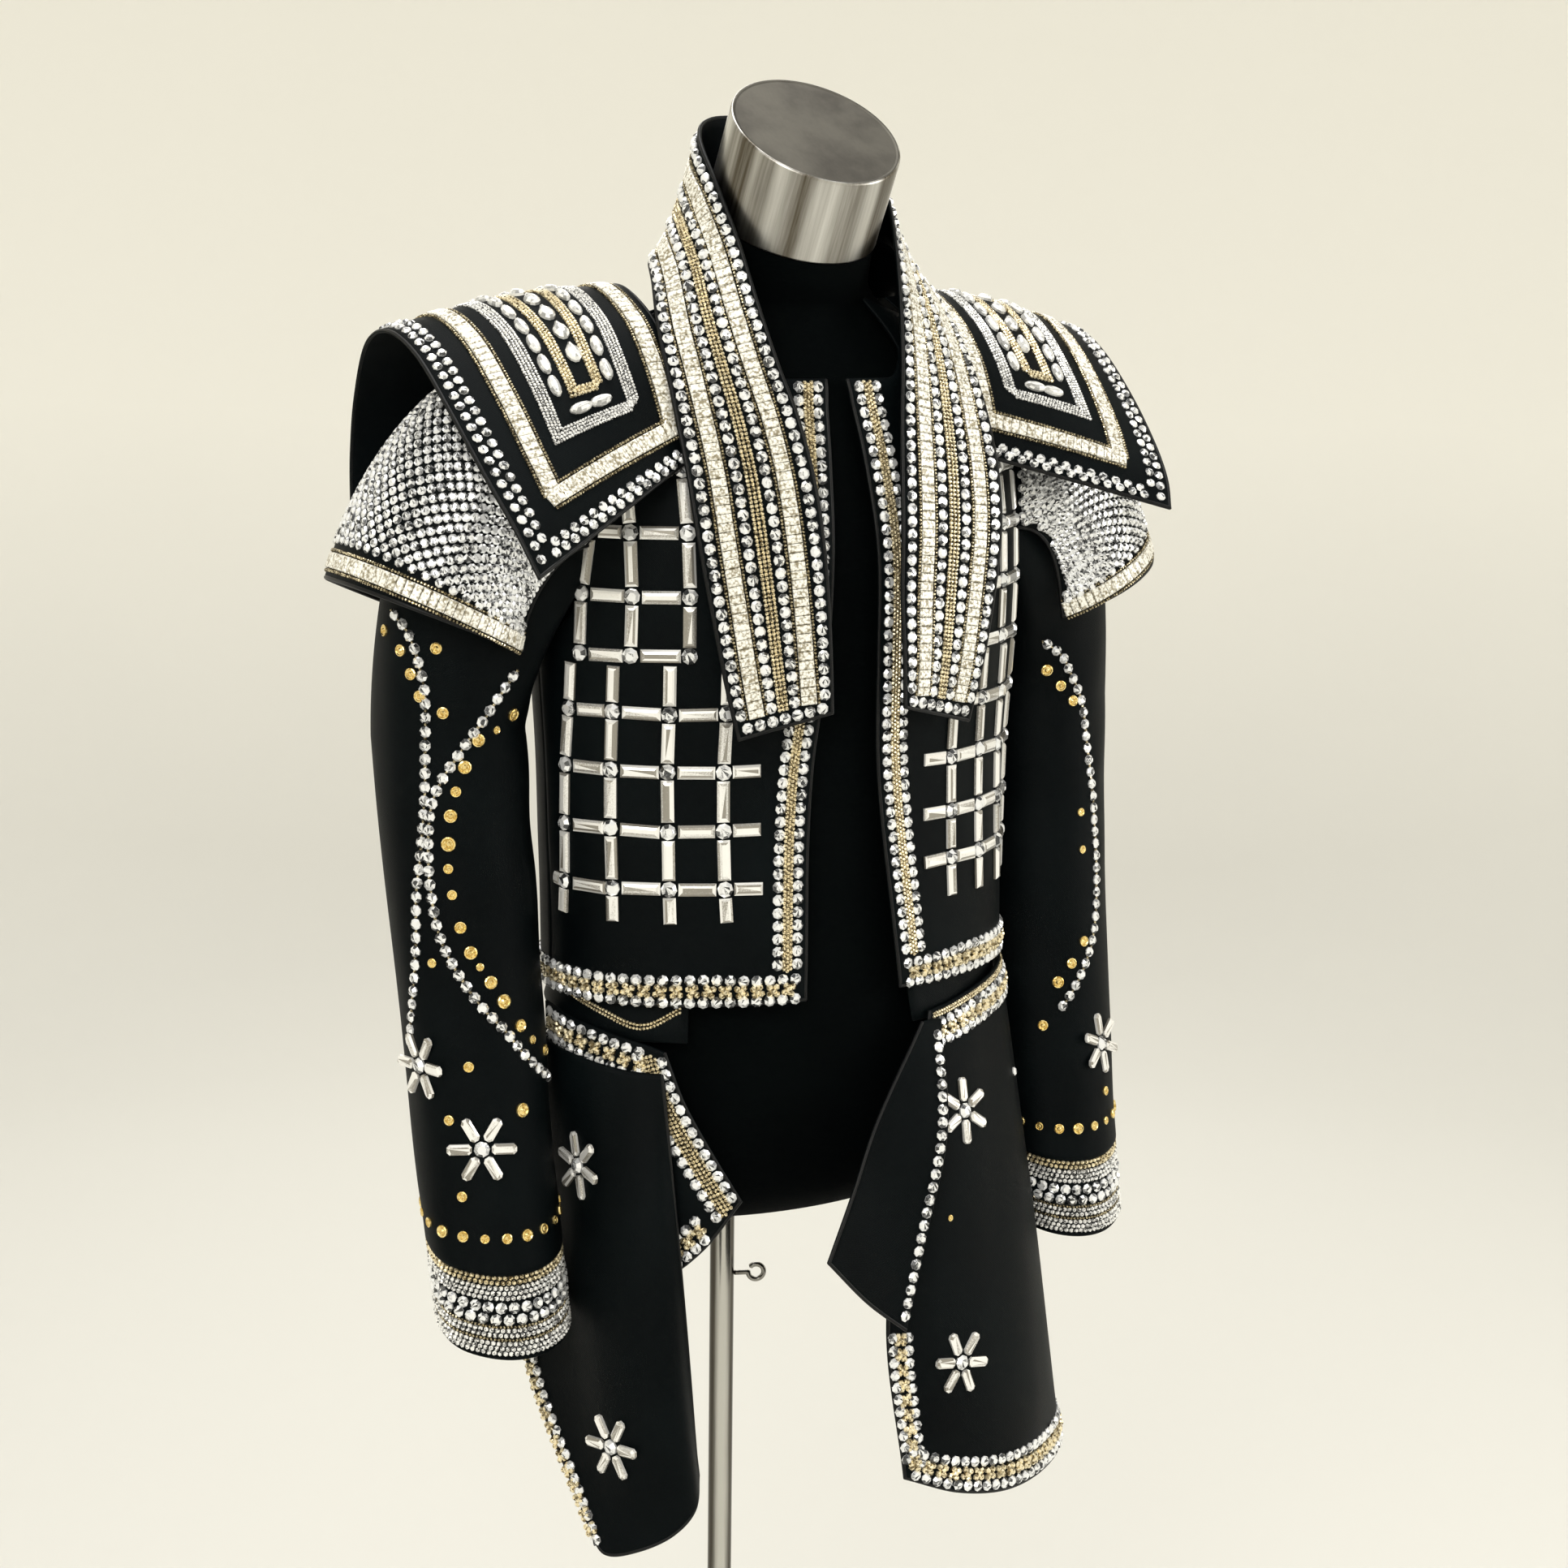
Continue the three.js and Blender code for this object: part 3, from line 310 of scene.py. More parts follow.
def side_edge(z):
    """Half width of the body, or of the armhole's cut where that is narrower."""
    body = at_height(TORSO, 1, z)
    cut = at_height(ARMHOLE, 1, np.minimum(z, ARMHOLE[-1, 0]))
    return np.where(z < ARMHOLE[0, 0], body, np.minimum(body, cut))


def front_point(side):
    """Front: u from the centre edge to the side seam, v from the hem to the neck and shoulder."""
    def place(u, v):
        share = np.sin(u * np.pi / 2)
        edge_column = 2 if side > 0 else 1
        x_top = mix(at_height(CENTRE_EDGE, edge_column, np.array(float(FRONT_TOP))), SHOULDER_POINT, share)
        rise = np.clip((x_top - NECK_START) / (NECK_POINT - NECK_START), 0, 1) ** 1.4
        neck = mix(FRONT_TOP, NECK_POINT_HEIGHT, rise)
        top = np.where(x_top >= NECK_POINT, shoulder_height(x_top), neck)
        z = mix(HEM_HEIGHT, top, v)
        edge = at_height(CENTRE_EDGE, edge_column, np.minimum(z, FRONT_TOP))
        x = np.minimum(mix(edge, side_edge(z), share), at_height(TORSO, 1, z))
        return body_point(x, z, -1)
    return place


def back_point(u, v):
    """Back: u from the left side seam to the right one, v from the hem to the neck and shoulders."""
    share = np.sin((1 - 2 * u) * np.pi / 2)
    x_top = np.abs(share) * SHOULDER_POINT
    top = np.where(x_top >= NECK_POINT, shoulder_height(x_top), NECK_POINT_HEIGHT)
    z = mix(HEM_HEIGHT, top, v)
    return body_point(share * np.minimum(side_edge(z), at_height(TORSO, 1, z)), z, 1)


def collar_point(u, v):
    """Collar: u from its outer to its inner edge, v from the right end round the neck to the left."""
    half = np.where(v < 0.5, v * 2, (1 - v) * 2)
    side = np.where(v < 0.5, -1, 1)
    p = mix(through(COLLAR_OUTER, half), through(COLLAR_INNER, half), u[:, None])
    p[:, 0] *= side
    return p


def saddle_point(drop):
    """Saddle: u from the collar to the side edge, v from the front edge to the back one."""
    def place(u, v):
        outer = through(SADDLE_OUTER, v)
        fall = drop * np.clip(1 - v / 0.4, 0, 1) ** 1.5
        outer[:, 2] += fall
        outer[:, 1] += fall * 0.3
        p = mix(through(SADDLE_INNER, v), outer, u[:, None])
        p[:, 2] += 5 * np.sin(np.pi * u) * np.sin(np.pi * v)
        return p
    return place


def armhole_point(share):
    """Armhole: a loop from under the arm (0) over the front, the top (0.5) and the back."""
    turn = share * 2 * np.pi
    z = mix(ARMHOLE[0, 0], ARMHOLE[-1, 0], (1 - np.cos(turn)) / 2)
    face = np.where(share <= 0.5, -1, 1)
    p = body_point(np.minimum(side_edge(z), at_height(TORSO, 1, z)), z, face)
    level = np.minimum(1, np.abs(np.sin(turn)) * 1.2)
    p[:, 1] = mix(at_height(TORSO, 4, z), p[:, 1], level)
    p[:, 0] += SEAM_GAP + 0.4
    return p


def armhole_out(share):
    """Directions away from the middle of the armhole, in its own plane."""
    p = armhole_point(share) - ARM_MIDDLE
    p[:, 0] = 0
    return unit(p)


def sleeve_ring(row, share, ease=0.0):
    """An ellipse round the arm, leaning forward, with a pressed crease on the outer front."""
    z, x, y, wide, deep, lean = row
    turn, lean = share * 2 * np.pi, np.radians(lean)
    crease = 1 + 0.045 * np.exp(-(((share - 0.43) / 0.05) ** 2))
    across, along = -np.cos(turn) * (wide + ease), -np.sin(turn) * (deep + ease)
    forward = along * np.cos(lean) * crease
    return np.stack([x + across * crease, y + forward, z + along * np.sin(lean)], -1)


def bend(start, leave, end, arrive, t):
    """A cubic curve that leaves start along one direction and arrives at end along another."""
    reach = np.linalg.norm(end - start, axis=-1, keepdims=True) * 0.36
    t = t[:, None]
    a, b = start + leave * reach, end - arrive * reach
    return start * (1 - t) ** 3 + a * 3 * t * (1 - t) ** 2 + b * 3 * t * t * (1 - t) + end * t ** 3


def sleeve_point(rise):
    """Long sleeve: u round the arm against the armhole's share, w from the wrist up to the armhole."""
    def place(u, w):
        share, v = u, 1 - w
        high = (1 - np.cos(share * 2 * np.pi)) / 2
        leave = unit(np.stack([0.35 + 0.65 * high, 0 * high, -0.95 * (1 - high)], -1))
        rings = np.stack([sleeve_ring(row, share, SLEEVE_EASE) for row in SLEEVE])
        down = np.broadcast_to(np.array([0.0, 0, -1]), leave.shape)
        upper = bend(armhole_point(share), leave, rings[0], down, np.clip(v / SLEEVE_BEND, 0, 1))
        lower = through(rings, (v - SLEEVE_BEND) / (1 - SLEEVE_BEND))
        p = np.where((v < SLEEVE_BEND)[:, None], upper, lower)
        p[:, 2] += rise * np.clip(v - SLEEVE_BEND, 0, 1)
        return p
    return place


def cuff_point(rise):
    """Cuff: one more ring below the wrist, moved down and forward with the arm's lean."""
    def place(u, w):
        v = 1 - w
        p = sleeve_ring(SLEEVE[-1], u, 0.2)
        p += v[:, None] * np.array([-1, -11, -47])
        p[:, 2] += rise * (1 - SLEEVE_BEND) - SEAM_GAP - 0.7
        return p
    return place


def cap_point(u, w):
    """Cap sleeve: u round the arm, open below, w from its hem up to the armhole."""
    share, v = u, 1 - w
    turn = mix(0.205, 0.795, share)
    start = armhole_point(turn) + armhole_out(turn) * (CLOTH + CAP_OFFSET)
    start[:, 0] += 0.6
    angle = mix(0.145, 0.855, share) * 2 * np.pi
    across, sine = -np.cos(angle) * CAP_ACROSS, np.sin(angle)
    along = np.sign(sine) * np.abs(sine) ** 0.8 * CAP_ALONG
    x, y, z = CAP_MIDDLE
    hem = np.stack([x + across, y - along, z + across * 0.42], -1)
    high = (1 - np.cos(angle)) / 2
    leave = unit(np.stack([0.5 + 0.5 * high, -0.35 * sine, 0 * sine], -1))
    arrive = unit(np.stack([0.3 * high, -0.2 * sine, 0 * sine - 1], -1))
    return bend(start, leave, hem, arrive, v)


def band_point(degrees, grow, v):
    """A point of the waist band's oval, grown outward, at an angle from the front; its height is 0."""
    angle = np.radians(degrees)
    wide, deep = mix(*BAND_WIDE, v) + grow, mix(*BAND_DEEP, v) + grow
    return np.stack([wide * np.sin(angle), BAND_MIDDLE - deep * np.cos(angle), 0 * angle], -1)


def waist_point(u, v):
    """Waist band: u from the left end round the back to the right end, v up."""
    p = band_point(mix(17, 319, u), 0, v)
    p[:, 2] = mix(1008 + 10 * np.clip((p[:, 1] + 108) / 60, 0, 1), 1040, v)
    return p


def folded_point(table, seat, side):
    """Skirt piece: curves through its folds at the hem, low, middle and band, then one curve up them."""
    tops = band_point(np.array([float(row[0]) for row in table]), seat, np.array(0.0))
    tops[:, 0] *= side
    tops[:, 2] = [row[1] for row in table]
    levels = [np.array([row[k] for row in table], float) for k in (4, 3, 2)] + [tops]

    def place(u, v):
        return through(np.stack([through(level, u) for level in levels]), v)
    return place


def form_ring(row, turn):
    """A superellipse at a height, leaning forward up the neck."""
    z, side, front, back, centre, power, lean = row
    c, s, lean = np.cos(turn), np.sin(turn), np.radians(lean)
    away = np.sign(s) * np.abs(s) ** (2 / power) * np.where(s < 0, front, back)
    x = np.sign(c) * np.abs(c) ** (2 / power) * side
    return np.stack([x, centre + away * np.cos(lean), z + away * np.sin(lean)], -1)


# Pieces
class Panel:
    """A surface sampled on a grid of rows and columns, with a plain look-up between its points."""

    def __init__(self, place, across, down, mirror=False, even=False, closed=False, fold=None):
        u, v = np.meshgrid(np.linspace(0, 1, across + 1), np.linspace(0, 1, down + 1))
        self.across, self.down, self.closed = across, down, closed
        self.turn = -1 if mirror else 1
        p = place(u.ravel(), v.ravel()).reshape(down + 1, across + 1, 3)
        self.p = p * np.array([self.turn, 1, 1])
        if even:
            self.respace(u)
        self.find_normals()
        if fold is not None:
            self.p = self.p + self.n * fold(u, v)[..., None]
            self.find_normals()

    def respace(self, u):
        """Moves each row's points to equal lengths of the row, by the length summed along it."""
        steps = np.linalg.norm(np.diff(self.p, axis=1), axis=2)
        run = np.pad(np.cumsum(steps, axis=1), ((0, 0), (1, 0)))
        row = np.arange(len(run))[:, None] * 2.0
        run = run / run[:, -1:] + row
        found = [np.interp((u + row).ravel(), run.ravel(), self.p[..., k].ravel()) for k in range(3)]
        self.p = np.stack(found, -1).reshape(self.p.shape)

    def find_normals(self):
        """The cross product of the differences along the rows and up the columns."""
        if self.closed:
            ring = self.p[:, :-1]
            along = np.roll(ring, -1, 1) - np.roll(ring, 1, 1)
            along = np.concatenate([along, along[:, :1]], 1)
        else:
            along = np.gradient(self.p, axis=1)
        self.n = unit(np.cross(along, np.gradient(self.p, axis=0))) * self.turn

    def at(self, u, v, lift=0.0):
        """Points and normals at u and v, mixed from the four grid points around each."""
        a, b = np.clip(u, 0, 1) * self.across, np.clip(v, 0, 1) * self.down
        i = np.minimum(a.astype(int), self.across - 1)
        j = np.minimum(b.astype(int), self.down - 1)
        s, t = (a - i)[:, None], (b - j)[:, None]

        def mixed(grid):
            return mix(mix(grid[j, i], grid[j, i + 1], s), mix(grid[j + 1, i], grid[j + 1, i + 1], s), t)

        n = unit(mixed(self.n))
        return mixed(self.p) + n * lift, n

    def wide(self, v):
        """Length of the row at v."""
        lengths = np.linalg.norm(np.diff(self.p, axis=1), axis=2).sum(1)
        return np.interp(v, np.linspace(0, 1, self.down + 1), lengths)

    def high(self, u):
        """Length of the column at u."""
        lengths = np.linalg.norm(np.diff(self.p, axis=0), axis=2).sum(0)
        return np.interp(u, np.linspace(0, 1, self.across + 1), lengths)


# Surfaces of the garment
def creases(size, along, across, phase):
    """Shallow folds: size times the sum of three sine waves that run at a slant over the piece."""
    def fold(u, v):
        a = np.sin(2 * np.pi * (across * u + along * v) + phase)
        b = np.sin(2 * np.pi * (across * 1.7 * u - along * 0.8 * v) + phase * 2.3)
        c = np.sin(2 * np.pi * (along * 2.1 * v + across * 0.6 * u) + phase * 4.1)
        return size * (0.5 * a + 0.3 * b + 0.2 * c) * smooth(v * 12) * smooth((1 - v) * 12)
    return fold


def arm_creases(size, phase):
    """Rings of soft folds at the bend of the arm, deepest on its inner front and gone at the ends."""
    def fold(u, v):
        elbow = np.exp(-(((v - 0.52) / 0.2) ** 2))
        wave = np.sin(2 * np.pi * (7.5 * v + 0.9 * np.cos(2 * np.pi * (u - 0.1))) + phase)
        soft = np.sin(2 * np.pi * (2.3 * v + 0.5 * np.sin(2 * np.pi * u)) + phase * 1.7)
        ends = smooth(v * 9) * smooth((1 - v) * 7)
        inner_front = 0.5 + 0.5 * np.cos(2 * np.pi * (u - 0.08))
        return size * (0.55 * elbow * wave * inner_front + 0.45 * soft) * ends
    return fold


front_right = Panel(front_point(-1), 60, 84, mirror=True, even=True, fold=creases(0.35, 1.1, 1.6, 0.4))
front_left = Panel(front_point(1), 60, 84, even=True, fold=creases(0.35, 1.3, 1.4, 2.0))
back = Panel(back_point, 96, 60, even=True, fold=creases(0.4, 1.2, 2.2, 1.1))
collar = Panel(collar_point, 16, 180)
saddle_right = Panel(saddle_point(-9), 30, 72, mirror=True)
saddle_left = Panel(saddle_point(14), 30, 72)
cap_right = Panel(cap_point, 60, 30, mirror=True, even=True)
cap_left = Panel(cap_point, 60, 30, even=True)
sleeve_right = Panel(sleeve_point(0), 72, 110, mirror=True, closed=True, fold=arm_creases(1.3, 0.5))
sleeve_left = Panel(sleeve_point(9), 72, 110, closed=True, fold=arm_creases(1.3, 1.9))
cuff_right = Panel(cuff_point(0), 72, 10, mirror=True, closed=True)
cuff_left = Panel(cuff_point(9), 72, 10, closed=True)
waist = Panel(waist_point, 120, 4)
peplum_right = Panel(folded_point(PEPLUM_RIGHT, 3.5, -1), 40, 50, even=True)
tail_right = Panel(folded_point(TAIL_RIGHT, 7.6, -1), 60, 90, even=True, fold=creases(0.7, 0.6, 1.5, 0.8))
tail_left = Panel(folded_point(TAIL_LEFT, 2.7, 1), 60, 90, even=True, fold=creases(0.7, 0.5, 1.6, 2.6))
flap_left = Panel(folded_point(FLAP_LEFT, 6.8, 1), 16, 50, even=True)


# Finishes
class Value:
    """A value in a material's nodes: signs put a Math node behind it, and node() any other node."""

    def __init__(self, tree, socket):
        self.tree, self.socket = tree, socket

    def node(self, kind, output=0, inputs=None, **settings):
        made = self.tree.nodes.new("ShaderNode" + kind)
        for key, setting in settings.items():
            setattr(made, key, setting)
        for key, value in (inputs or {}).items():
            if isinstance(value, Value):
                self.tree.links.new(value.socket, made.inputs[key])
            else:
                made.inputs[key].default_value = value
        return Value(self.tree, made.outputs[output])

    def math(self, operation, a, b=0.0):
        return self.node("Math", inputs={0: a, 1: b}, operation=operation)

    def __add__(self, other):
        return self.math("ADD", self, other)

    def __mul__(self, other):
        return self.math("MULTIPLY", self, other)

    def __sub__(self, other):
        return self.math("SUBTRACT", self, other)

    def __rsub__(self, other):
        return self.math("SUBTRACT", other, self)

    def __truediv__(self, other):
        return self.math("DIVIDE", self, other)

    def sine(self):
        return self.math("SINE", self)

    def axis(self, k):
        """X, Y or Z of a vector, for k of 0, 1 or 2."""
        return self.node("SeparateXYZ", k, {0: self})

    def between(self, low, high):
        """A number between two, at this share."""
        return self * (high - low) + low

    def step(self, low, high):
        """0 below low, 1 above high, smooth between."""
        inputs = {"Value": self, "From Min": low, "From Max": high}
        return self.node("MapRange", inputs=inputs, interpolation_type="SMOOTHSTEP")

    def colour(self, dark, light):
        """A colour between two, at this share."""
        return self.node("Mix", 2, {0: self, 6: (*dark, 1), 7: (*light, 1)}, data_type="RGBA")

    def noise(self, scale, detail=2.0, rough=0.5, stretch=None):
        place = self
        if stretch:
            place = self.node("Mapping", inputs={"Vector": self, "Scale": stretch})
        inputs = {"Vector": place, "Scale": scale, "Detail": detail, "Roughness": rough}
        return self.node("TexNoise", inputs=inputs)

    def bump(self, strength, distance):
        return self.node("Bump", inputs={"Height": self, "Strength": strength, "Distance": distance})


def finish(name, look, **fixed):
    """A Principled material: fixed numbers on its own sockets, and a look's colour, roughness and bump."""
    made = bpy.data.materials.new(name)
    made.use_nodes = True
    tree = made.node_tree
    shader = tree.nodes["Principled BSDF"]
    for key, number in fixed.items():
        shader.inputs[key.replace("_", " ")].default_value = number
    place = Value(tree, tree.nodes.new("ShaderNodeTexCoord").outputs["Object"])
    for key, value in zip(("Base Color", "Roughness", "Normal"), look(place)):
        tree.links.new(value.socket, shader.inputs[key])
    return made


def weave_height(place):
    """Threads: the product of two sine waves over the cloth's own UV map, in metres."""
    cloth = place.node("UVMap", uv_map="cloth")
    turn = 2 * np.pi / THREAD
    return (cloth.axis(0) * turn).sine() * (cloth.axis(1) * turn).sine()


def crepe_look(place):
    """Black crepe: wide soft tones and a fine grain, with the weave in its bump."""
    soft, grain = place.noise(14, 3), place.noise(900, 2)
    tone = (soft * 0.55 + grain * 0.45).step(0.3, 0.75)
    return (
        tone.colour((0.0006, 0.0014, 0.0018), (0.0022, 0.0042, 0.0048)),
        (soft + (grain - 0.5) * 0.4).between(0.42, 0.6),
        (weave_height(place) * 0.35 + grain).bump(0.28, 0.0004),
    )


def jersey_look(place):
    """Matt black jersey with fine upright ribs."""
    ribs, soft = place.noise(420, 2, stretch=(1.0, 1.0, 2.6)), place.noise(9, 2)
    tone = (soft * 0.6 + ribs * 0.4).step(0.3, 0.7)
    return (
        tone.colour((0.0002, 0.0006, 0.0007), (0.0008, 0.0017, 0.0018)),
        ribs.between(0.72, 0.9),
        ribs.bump(0.3, 0.0005),
    )


def piping_look(place):
    """Black cord, a little shinier than the cloth."""
    grain = place.noise(1300, 2)
    return (
        grain.step(0.3, 0.7).colour((0.0015, 0.0018, 0.002), (0.006, 0.0065, 0.007)),
        grain.between(0.35, 0.5),
        grain.bump(0.15, 0.0003),
    )


def painted_facet_glint(place):
    """Each facet's random brightness: painted glint, standing in for the light that each facet catches."""
    return place.node("Attribute", 2, attribute_name="painted_glint")


def stone_look(dark, light, low, high):
    """Cut stone: each facet's painted glint, a random brightness broken up by fine noise, picks its tone from
    dark to light, painting the facets' reflections.
    """
    def look(place):
        fleck = place.noise(1500, 2, 0.6)
        share = painted_facet_glint(place) + (fleck - 0.5) * 0.7
        return share.step(low, high).colour(dark, light), fleck.between(0.14, 0.3)
    return look


def pave_look(place):
    """Paved block: cells of tiny stones, each a little brighter or darker by random tone and by the painted
    glint of its facets, with dim lines between.
    """
    cells = place.node("TexVoronoi", 0, {"Vector": place, "Scale": 620})
    tone = place.noise(420, 2, 0.6)
    # Painted glint: a fifth of each facet's random brightness lightens or darkens the cells.
    share = (1 - cells * 1.25) * 0.6 + tone * 0.5 + painted_facet_glint(place) * 0.2
    return (
        share.step(0.28, 0.72).colour((0.30, 0.26, 0.17), (1.0, 0.98, 0.9)),
        tone.between(0.2, 0.34),
        (1 - cells).bump(0.5, 0.0006),
    )


def brushed_side_painted_bands(place):
    """Brushed drum: painted reflections in bright and dark bands along its leaning axis, with the brushing's
    fine scratches along them.
    """
    place = place.node("Mapping", inputs={"Vector": place, "Rotation": (-DRUM_LEAN, 0.0, 0.0)})
    # Painted reflection: wide bright and dark bands along the drum.
    painted_reflection_bands = place.noise(58, 1, 0.4, stretch=(1.0, 1.0, 0.01))
    fine = place.noise(620, 3, 0.6, stretch=(1.0, 1.0, 0.03))
    share = painted_reflection_bands.step(0.36, 0.68) * 0.85 + (fine - 0.5) * 0.5 + 0.06
    return (
        share.colour((0.10, 0.085, 0.062), (0.80, 0.79, 0.75)),
        fine.between(0.24, 0.42),
        fine.bump(0.06, 0.0004),
    )


def painted_shade_top(place):
    """Satin top with painted shade: the same steel as the side, coloured far darker, in soft clouds, with
    faint straight scratches.
    """
    cloud = place.noise(24, 4, 0.55)
    fine = place.noise(500, 2, 0.6, stretch=(1.0, 0.06, 1.0))
    # Painted shade: the top's colour stays far below the side's.
    share = cloud.step(0.3, 0.7) * 0.75 + fine * 0.25
    return (
        share.colour((0.031, 0.027, 0.021), (0.10, 0.093, 0.076)),
        cloud.between(0.34, 0.52),
        fine.bump(0.05, 0.0004),
    )


def chrome_look(place):
    """Upright rod: three stripes of painted reflection round it, bright and dark, by a sine wave of the angle
    about its axis, and fine scratches.
    """
    x = place.axis(0)
    angle = x.math("ARCTAN2", place.axis(1), x)
    # Painted reflection: bright and dark stripes round the rod.
    painted_reflection_stripes = (angle * 3 + 1.1).sine() * 0.5 + 0.5
    fine = place.noise(260, 3, 0.6, stretch=(1.0, 1.0, 0.04))
    tone = (fine * 0.35 + painted_reflection_stripes * 0.65).step(0.2, 0.8)
    return tone.colour((0.07, 0.062, 0.05), (0.55, 0.54, 0.5)), fine.between(0.12, 0.26)


def base_look(place):
    """Plain steel with soft clouds."""
    cloud = place.noise(60, 3, 0.5)
    return (
        cloud.colour((0.42, 0.40, 0.38), (0.66, 0.64, 0.61)),
        cloud.between(0.25, 0.4),
        place.noise(900, 2).bump(0.04, 0.0003),
    )


def paper_painted_light_look(place):
    """Paper backdrop: painted light, paler toward the top to make up for the lamps' falloff, with wide soft
    clouds.
    """
    cloud = place.noise(0.9, 2)
    # Painted light: the colour rises with height.
    share = (place.axis(2) - 0.05) / 1.05 + (cloud - 0.5) * 0.25
    return share.colour((0.72, 0.712, 0.672), (0.93, 0.914, 0.85)), cloud.between(0.85, 0.95)


CREPE = finish("crepe", crepe_look, Sheen_Weight=0.003, Sheen_Roughness=0.4, IOR=1.14)
JERSEY = finish("jersey", jersey_look, Sheen_Weight=0.002, IOR=1.1)
PIPING = finish("piping", piping_look, IOR=1.3)
CRYSTAL = finish(
    "crystal", stone_look((0.05, 0.052, 0.055), (0.97, 0.98, 0.99), 0.12, 0.5),
    Metallic=0.5, Coat_Weight=0.5, Coat_Roughness=0.06)
BAGUETTE = finish(
    "baguette", stone_look((0.31, 0.29, 0.25), (1.0, 0.99, 0.96), 0.12, 0.6),
    Metallic=0.45, Coat_Weight=0.6, Coat_Roughness=0.05)
PAVE = finish("pave", pave_look, Metallic=0.2, Coat_Weight=0.4, Coat_Roughness=0.12)
PEARL = finish(
    "pearl", stone_look((0.34, 0.34, 0.33), (0.9, 0.9, 0.88), 0.05, 0.75),
    Metallic=0.2, Coat_Weight=0.6, Coat_Roughness=0.1)
GOLD = finish(
    "gold_beads", stone_look((0.14, 0.1, 0.04), (1.0, 0.88, 0.6), 0.1, 0.65),
    Metallic=0.6, Coat_Weight=0.3)
CHAIN = finish("gold_chain", stone_look((0.07, 0.055, 0.03), (0.8, 0.7, 0.47), 0.3, 1.0), Metallic=0.85)
SILVER = finish(
    "silver_beads", stone_look((0.07, 0.07, 0.07), (1.0, 1.0, 0.98), 0.1, 0.55),
    Metallic=0.4, Coat_Weight=0.3)
BRASS = finish("brass_studs", stone_look((0.62, 0.42, 0.12), (1.0, 0.8, 0.36), 0.1, 0.8), Metallic=0.9)
STEEL_SIDE = finish("steel_side", brushed_side_painted_bands, Metallic=1.0)
STEEL_TOP_PAINTED_SHADE = finish("steel_top_painted_shade", painted_shade_top, Metallic=1.0)
CHROME = finish("chrome", chrome_look, Metallic=1.0)
BASE_STEEL = finish("base_steel", base_look, Metallic=1.0)
PAPER = finish("paper", paper_painted_light_look, Specular_IOR_Level=0.1)
TRIM_FINISH = {
    "crystals": CRYSTAL, "net": CRYSTAL, "ribbon": PAVE, "chain": CHAIN, "links": CHAIN, "gold_beads": GOLD,
    "silver_beads": SILVER, "drops": PEARL, "bars": BAGUETTE, "stars": BAGUETTE, "studs": BRASS,
}


# Meshes
def full_turn(count):
    """Equal angles all the way round."""
    return np.arange(count) / count * 2 * np.pi


def quads(grid):
    """Corner numbers, or values at corners, of every square between the rows and columns of a grid."""
    corners = np.stack([grid[:-1, :-1], grid[:-1, 1:], grid[1:, 1:], grid[1:, :-1]], 2)
    return corners.reshape(-1, 4, *grid.shape[2:])


def ring_numbers(rows, around, first=0):
    """Corner numbers of rings, a row for each, closed by its first corner once more."""
    ids = first + np.arange(rows * around).reshape(rows, around)
    return np.concatenate([ids, ids[:, :1]], 1)


def make_piece(name, points, faces, materials, smooth=True, uv=None, painted_glint=None, kinds=None):
    """A mesh object from points in millimetres and groups of faces, each an array of corner numbers."""
    corners = np.concatenate([group.ravel() for group in faces]).astype(np.int32)
    sizes = np.concatenate([np.full(len(group), group.shape[1]) for group in faces])
    mesh = bpy.data.meshes.new(name)
    mesh.vertices.add(len(points))
    mesh.vertices.foreach_set("co", (points * MM).astype(np.float32).ravel())
    mesh.loops.add(len(corners))
    mesh.loops.foreach_set("vertex_index", corners)
    mesh.polygons.add(len(sizes))
    mesh.polygons.foreach_set("loop_start", (np.cumsum(sizes) - sizes).astype(np.int32))
    mesh.polygons.foreach_set("use_smooth", np.full(len(sizes), smooth) & (sizes <= 4))
    for material in materials:
        mesh.materials.append(material)
    if kinds is not None:
        mesh.polygons.foreach_set("material_index", kinds.astype(np.int32))
    mesh.update(calc_edges=True)
    if uv is not None:
        layer = mesh.uv_layers.new(name="cloth")
        layer.uv.foreach_set("vector", uv.astype(np.float32).ravel())
    # Painted glint of the stones' facets, kept as a face attribute.
    if painted_glint is not None:
        layer = mesh.attributes.new("painted_glint", "FLOAT", "FACE")
        layer.data.foreach_set("value", painted_glint.astype(np.float32))
    piece = bpy.data.objects.new(name, mesh)
    bpy.context.scene.collection.objects.link(piece)
    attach(piece, "root")
    return piece


def stand_in(piece, node):
    """Hides the solid that a piece takes the place of."""
    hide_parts(node)


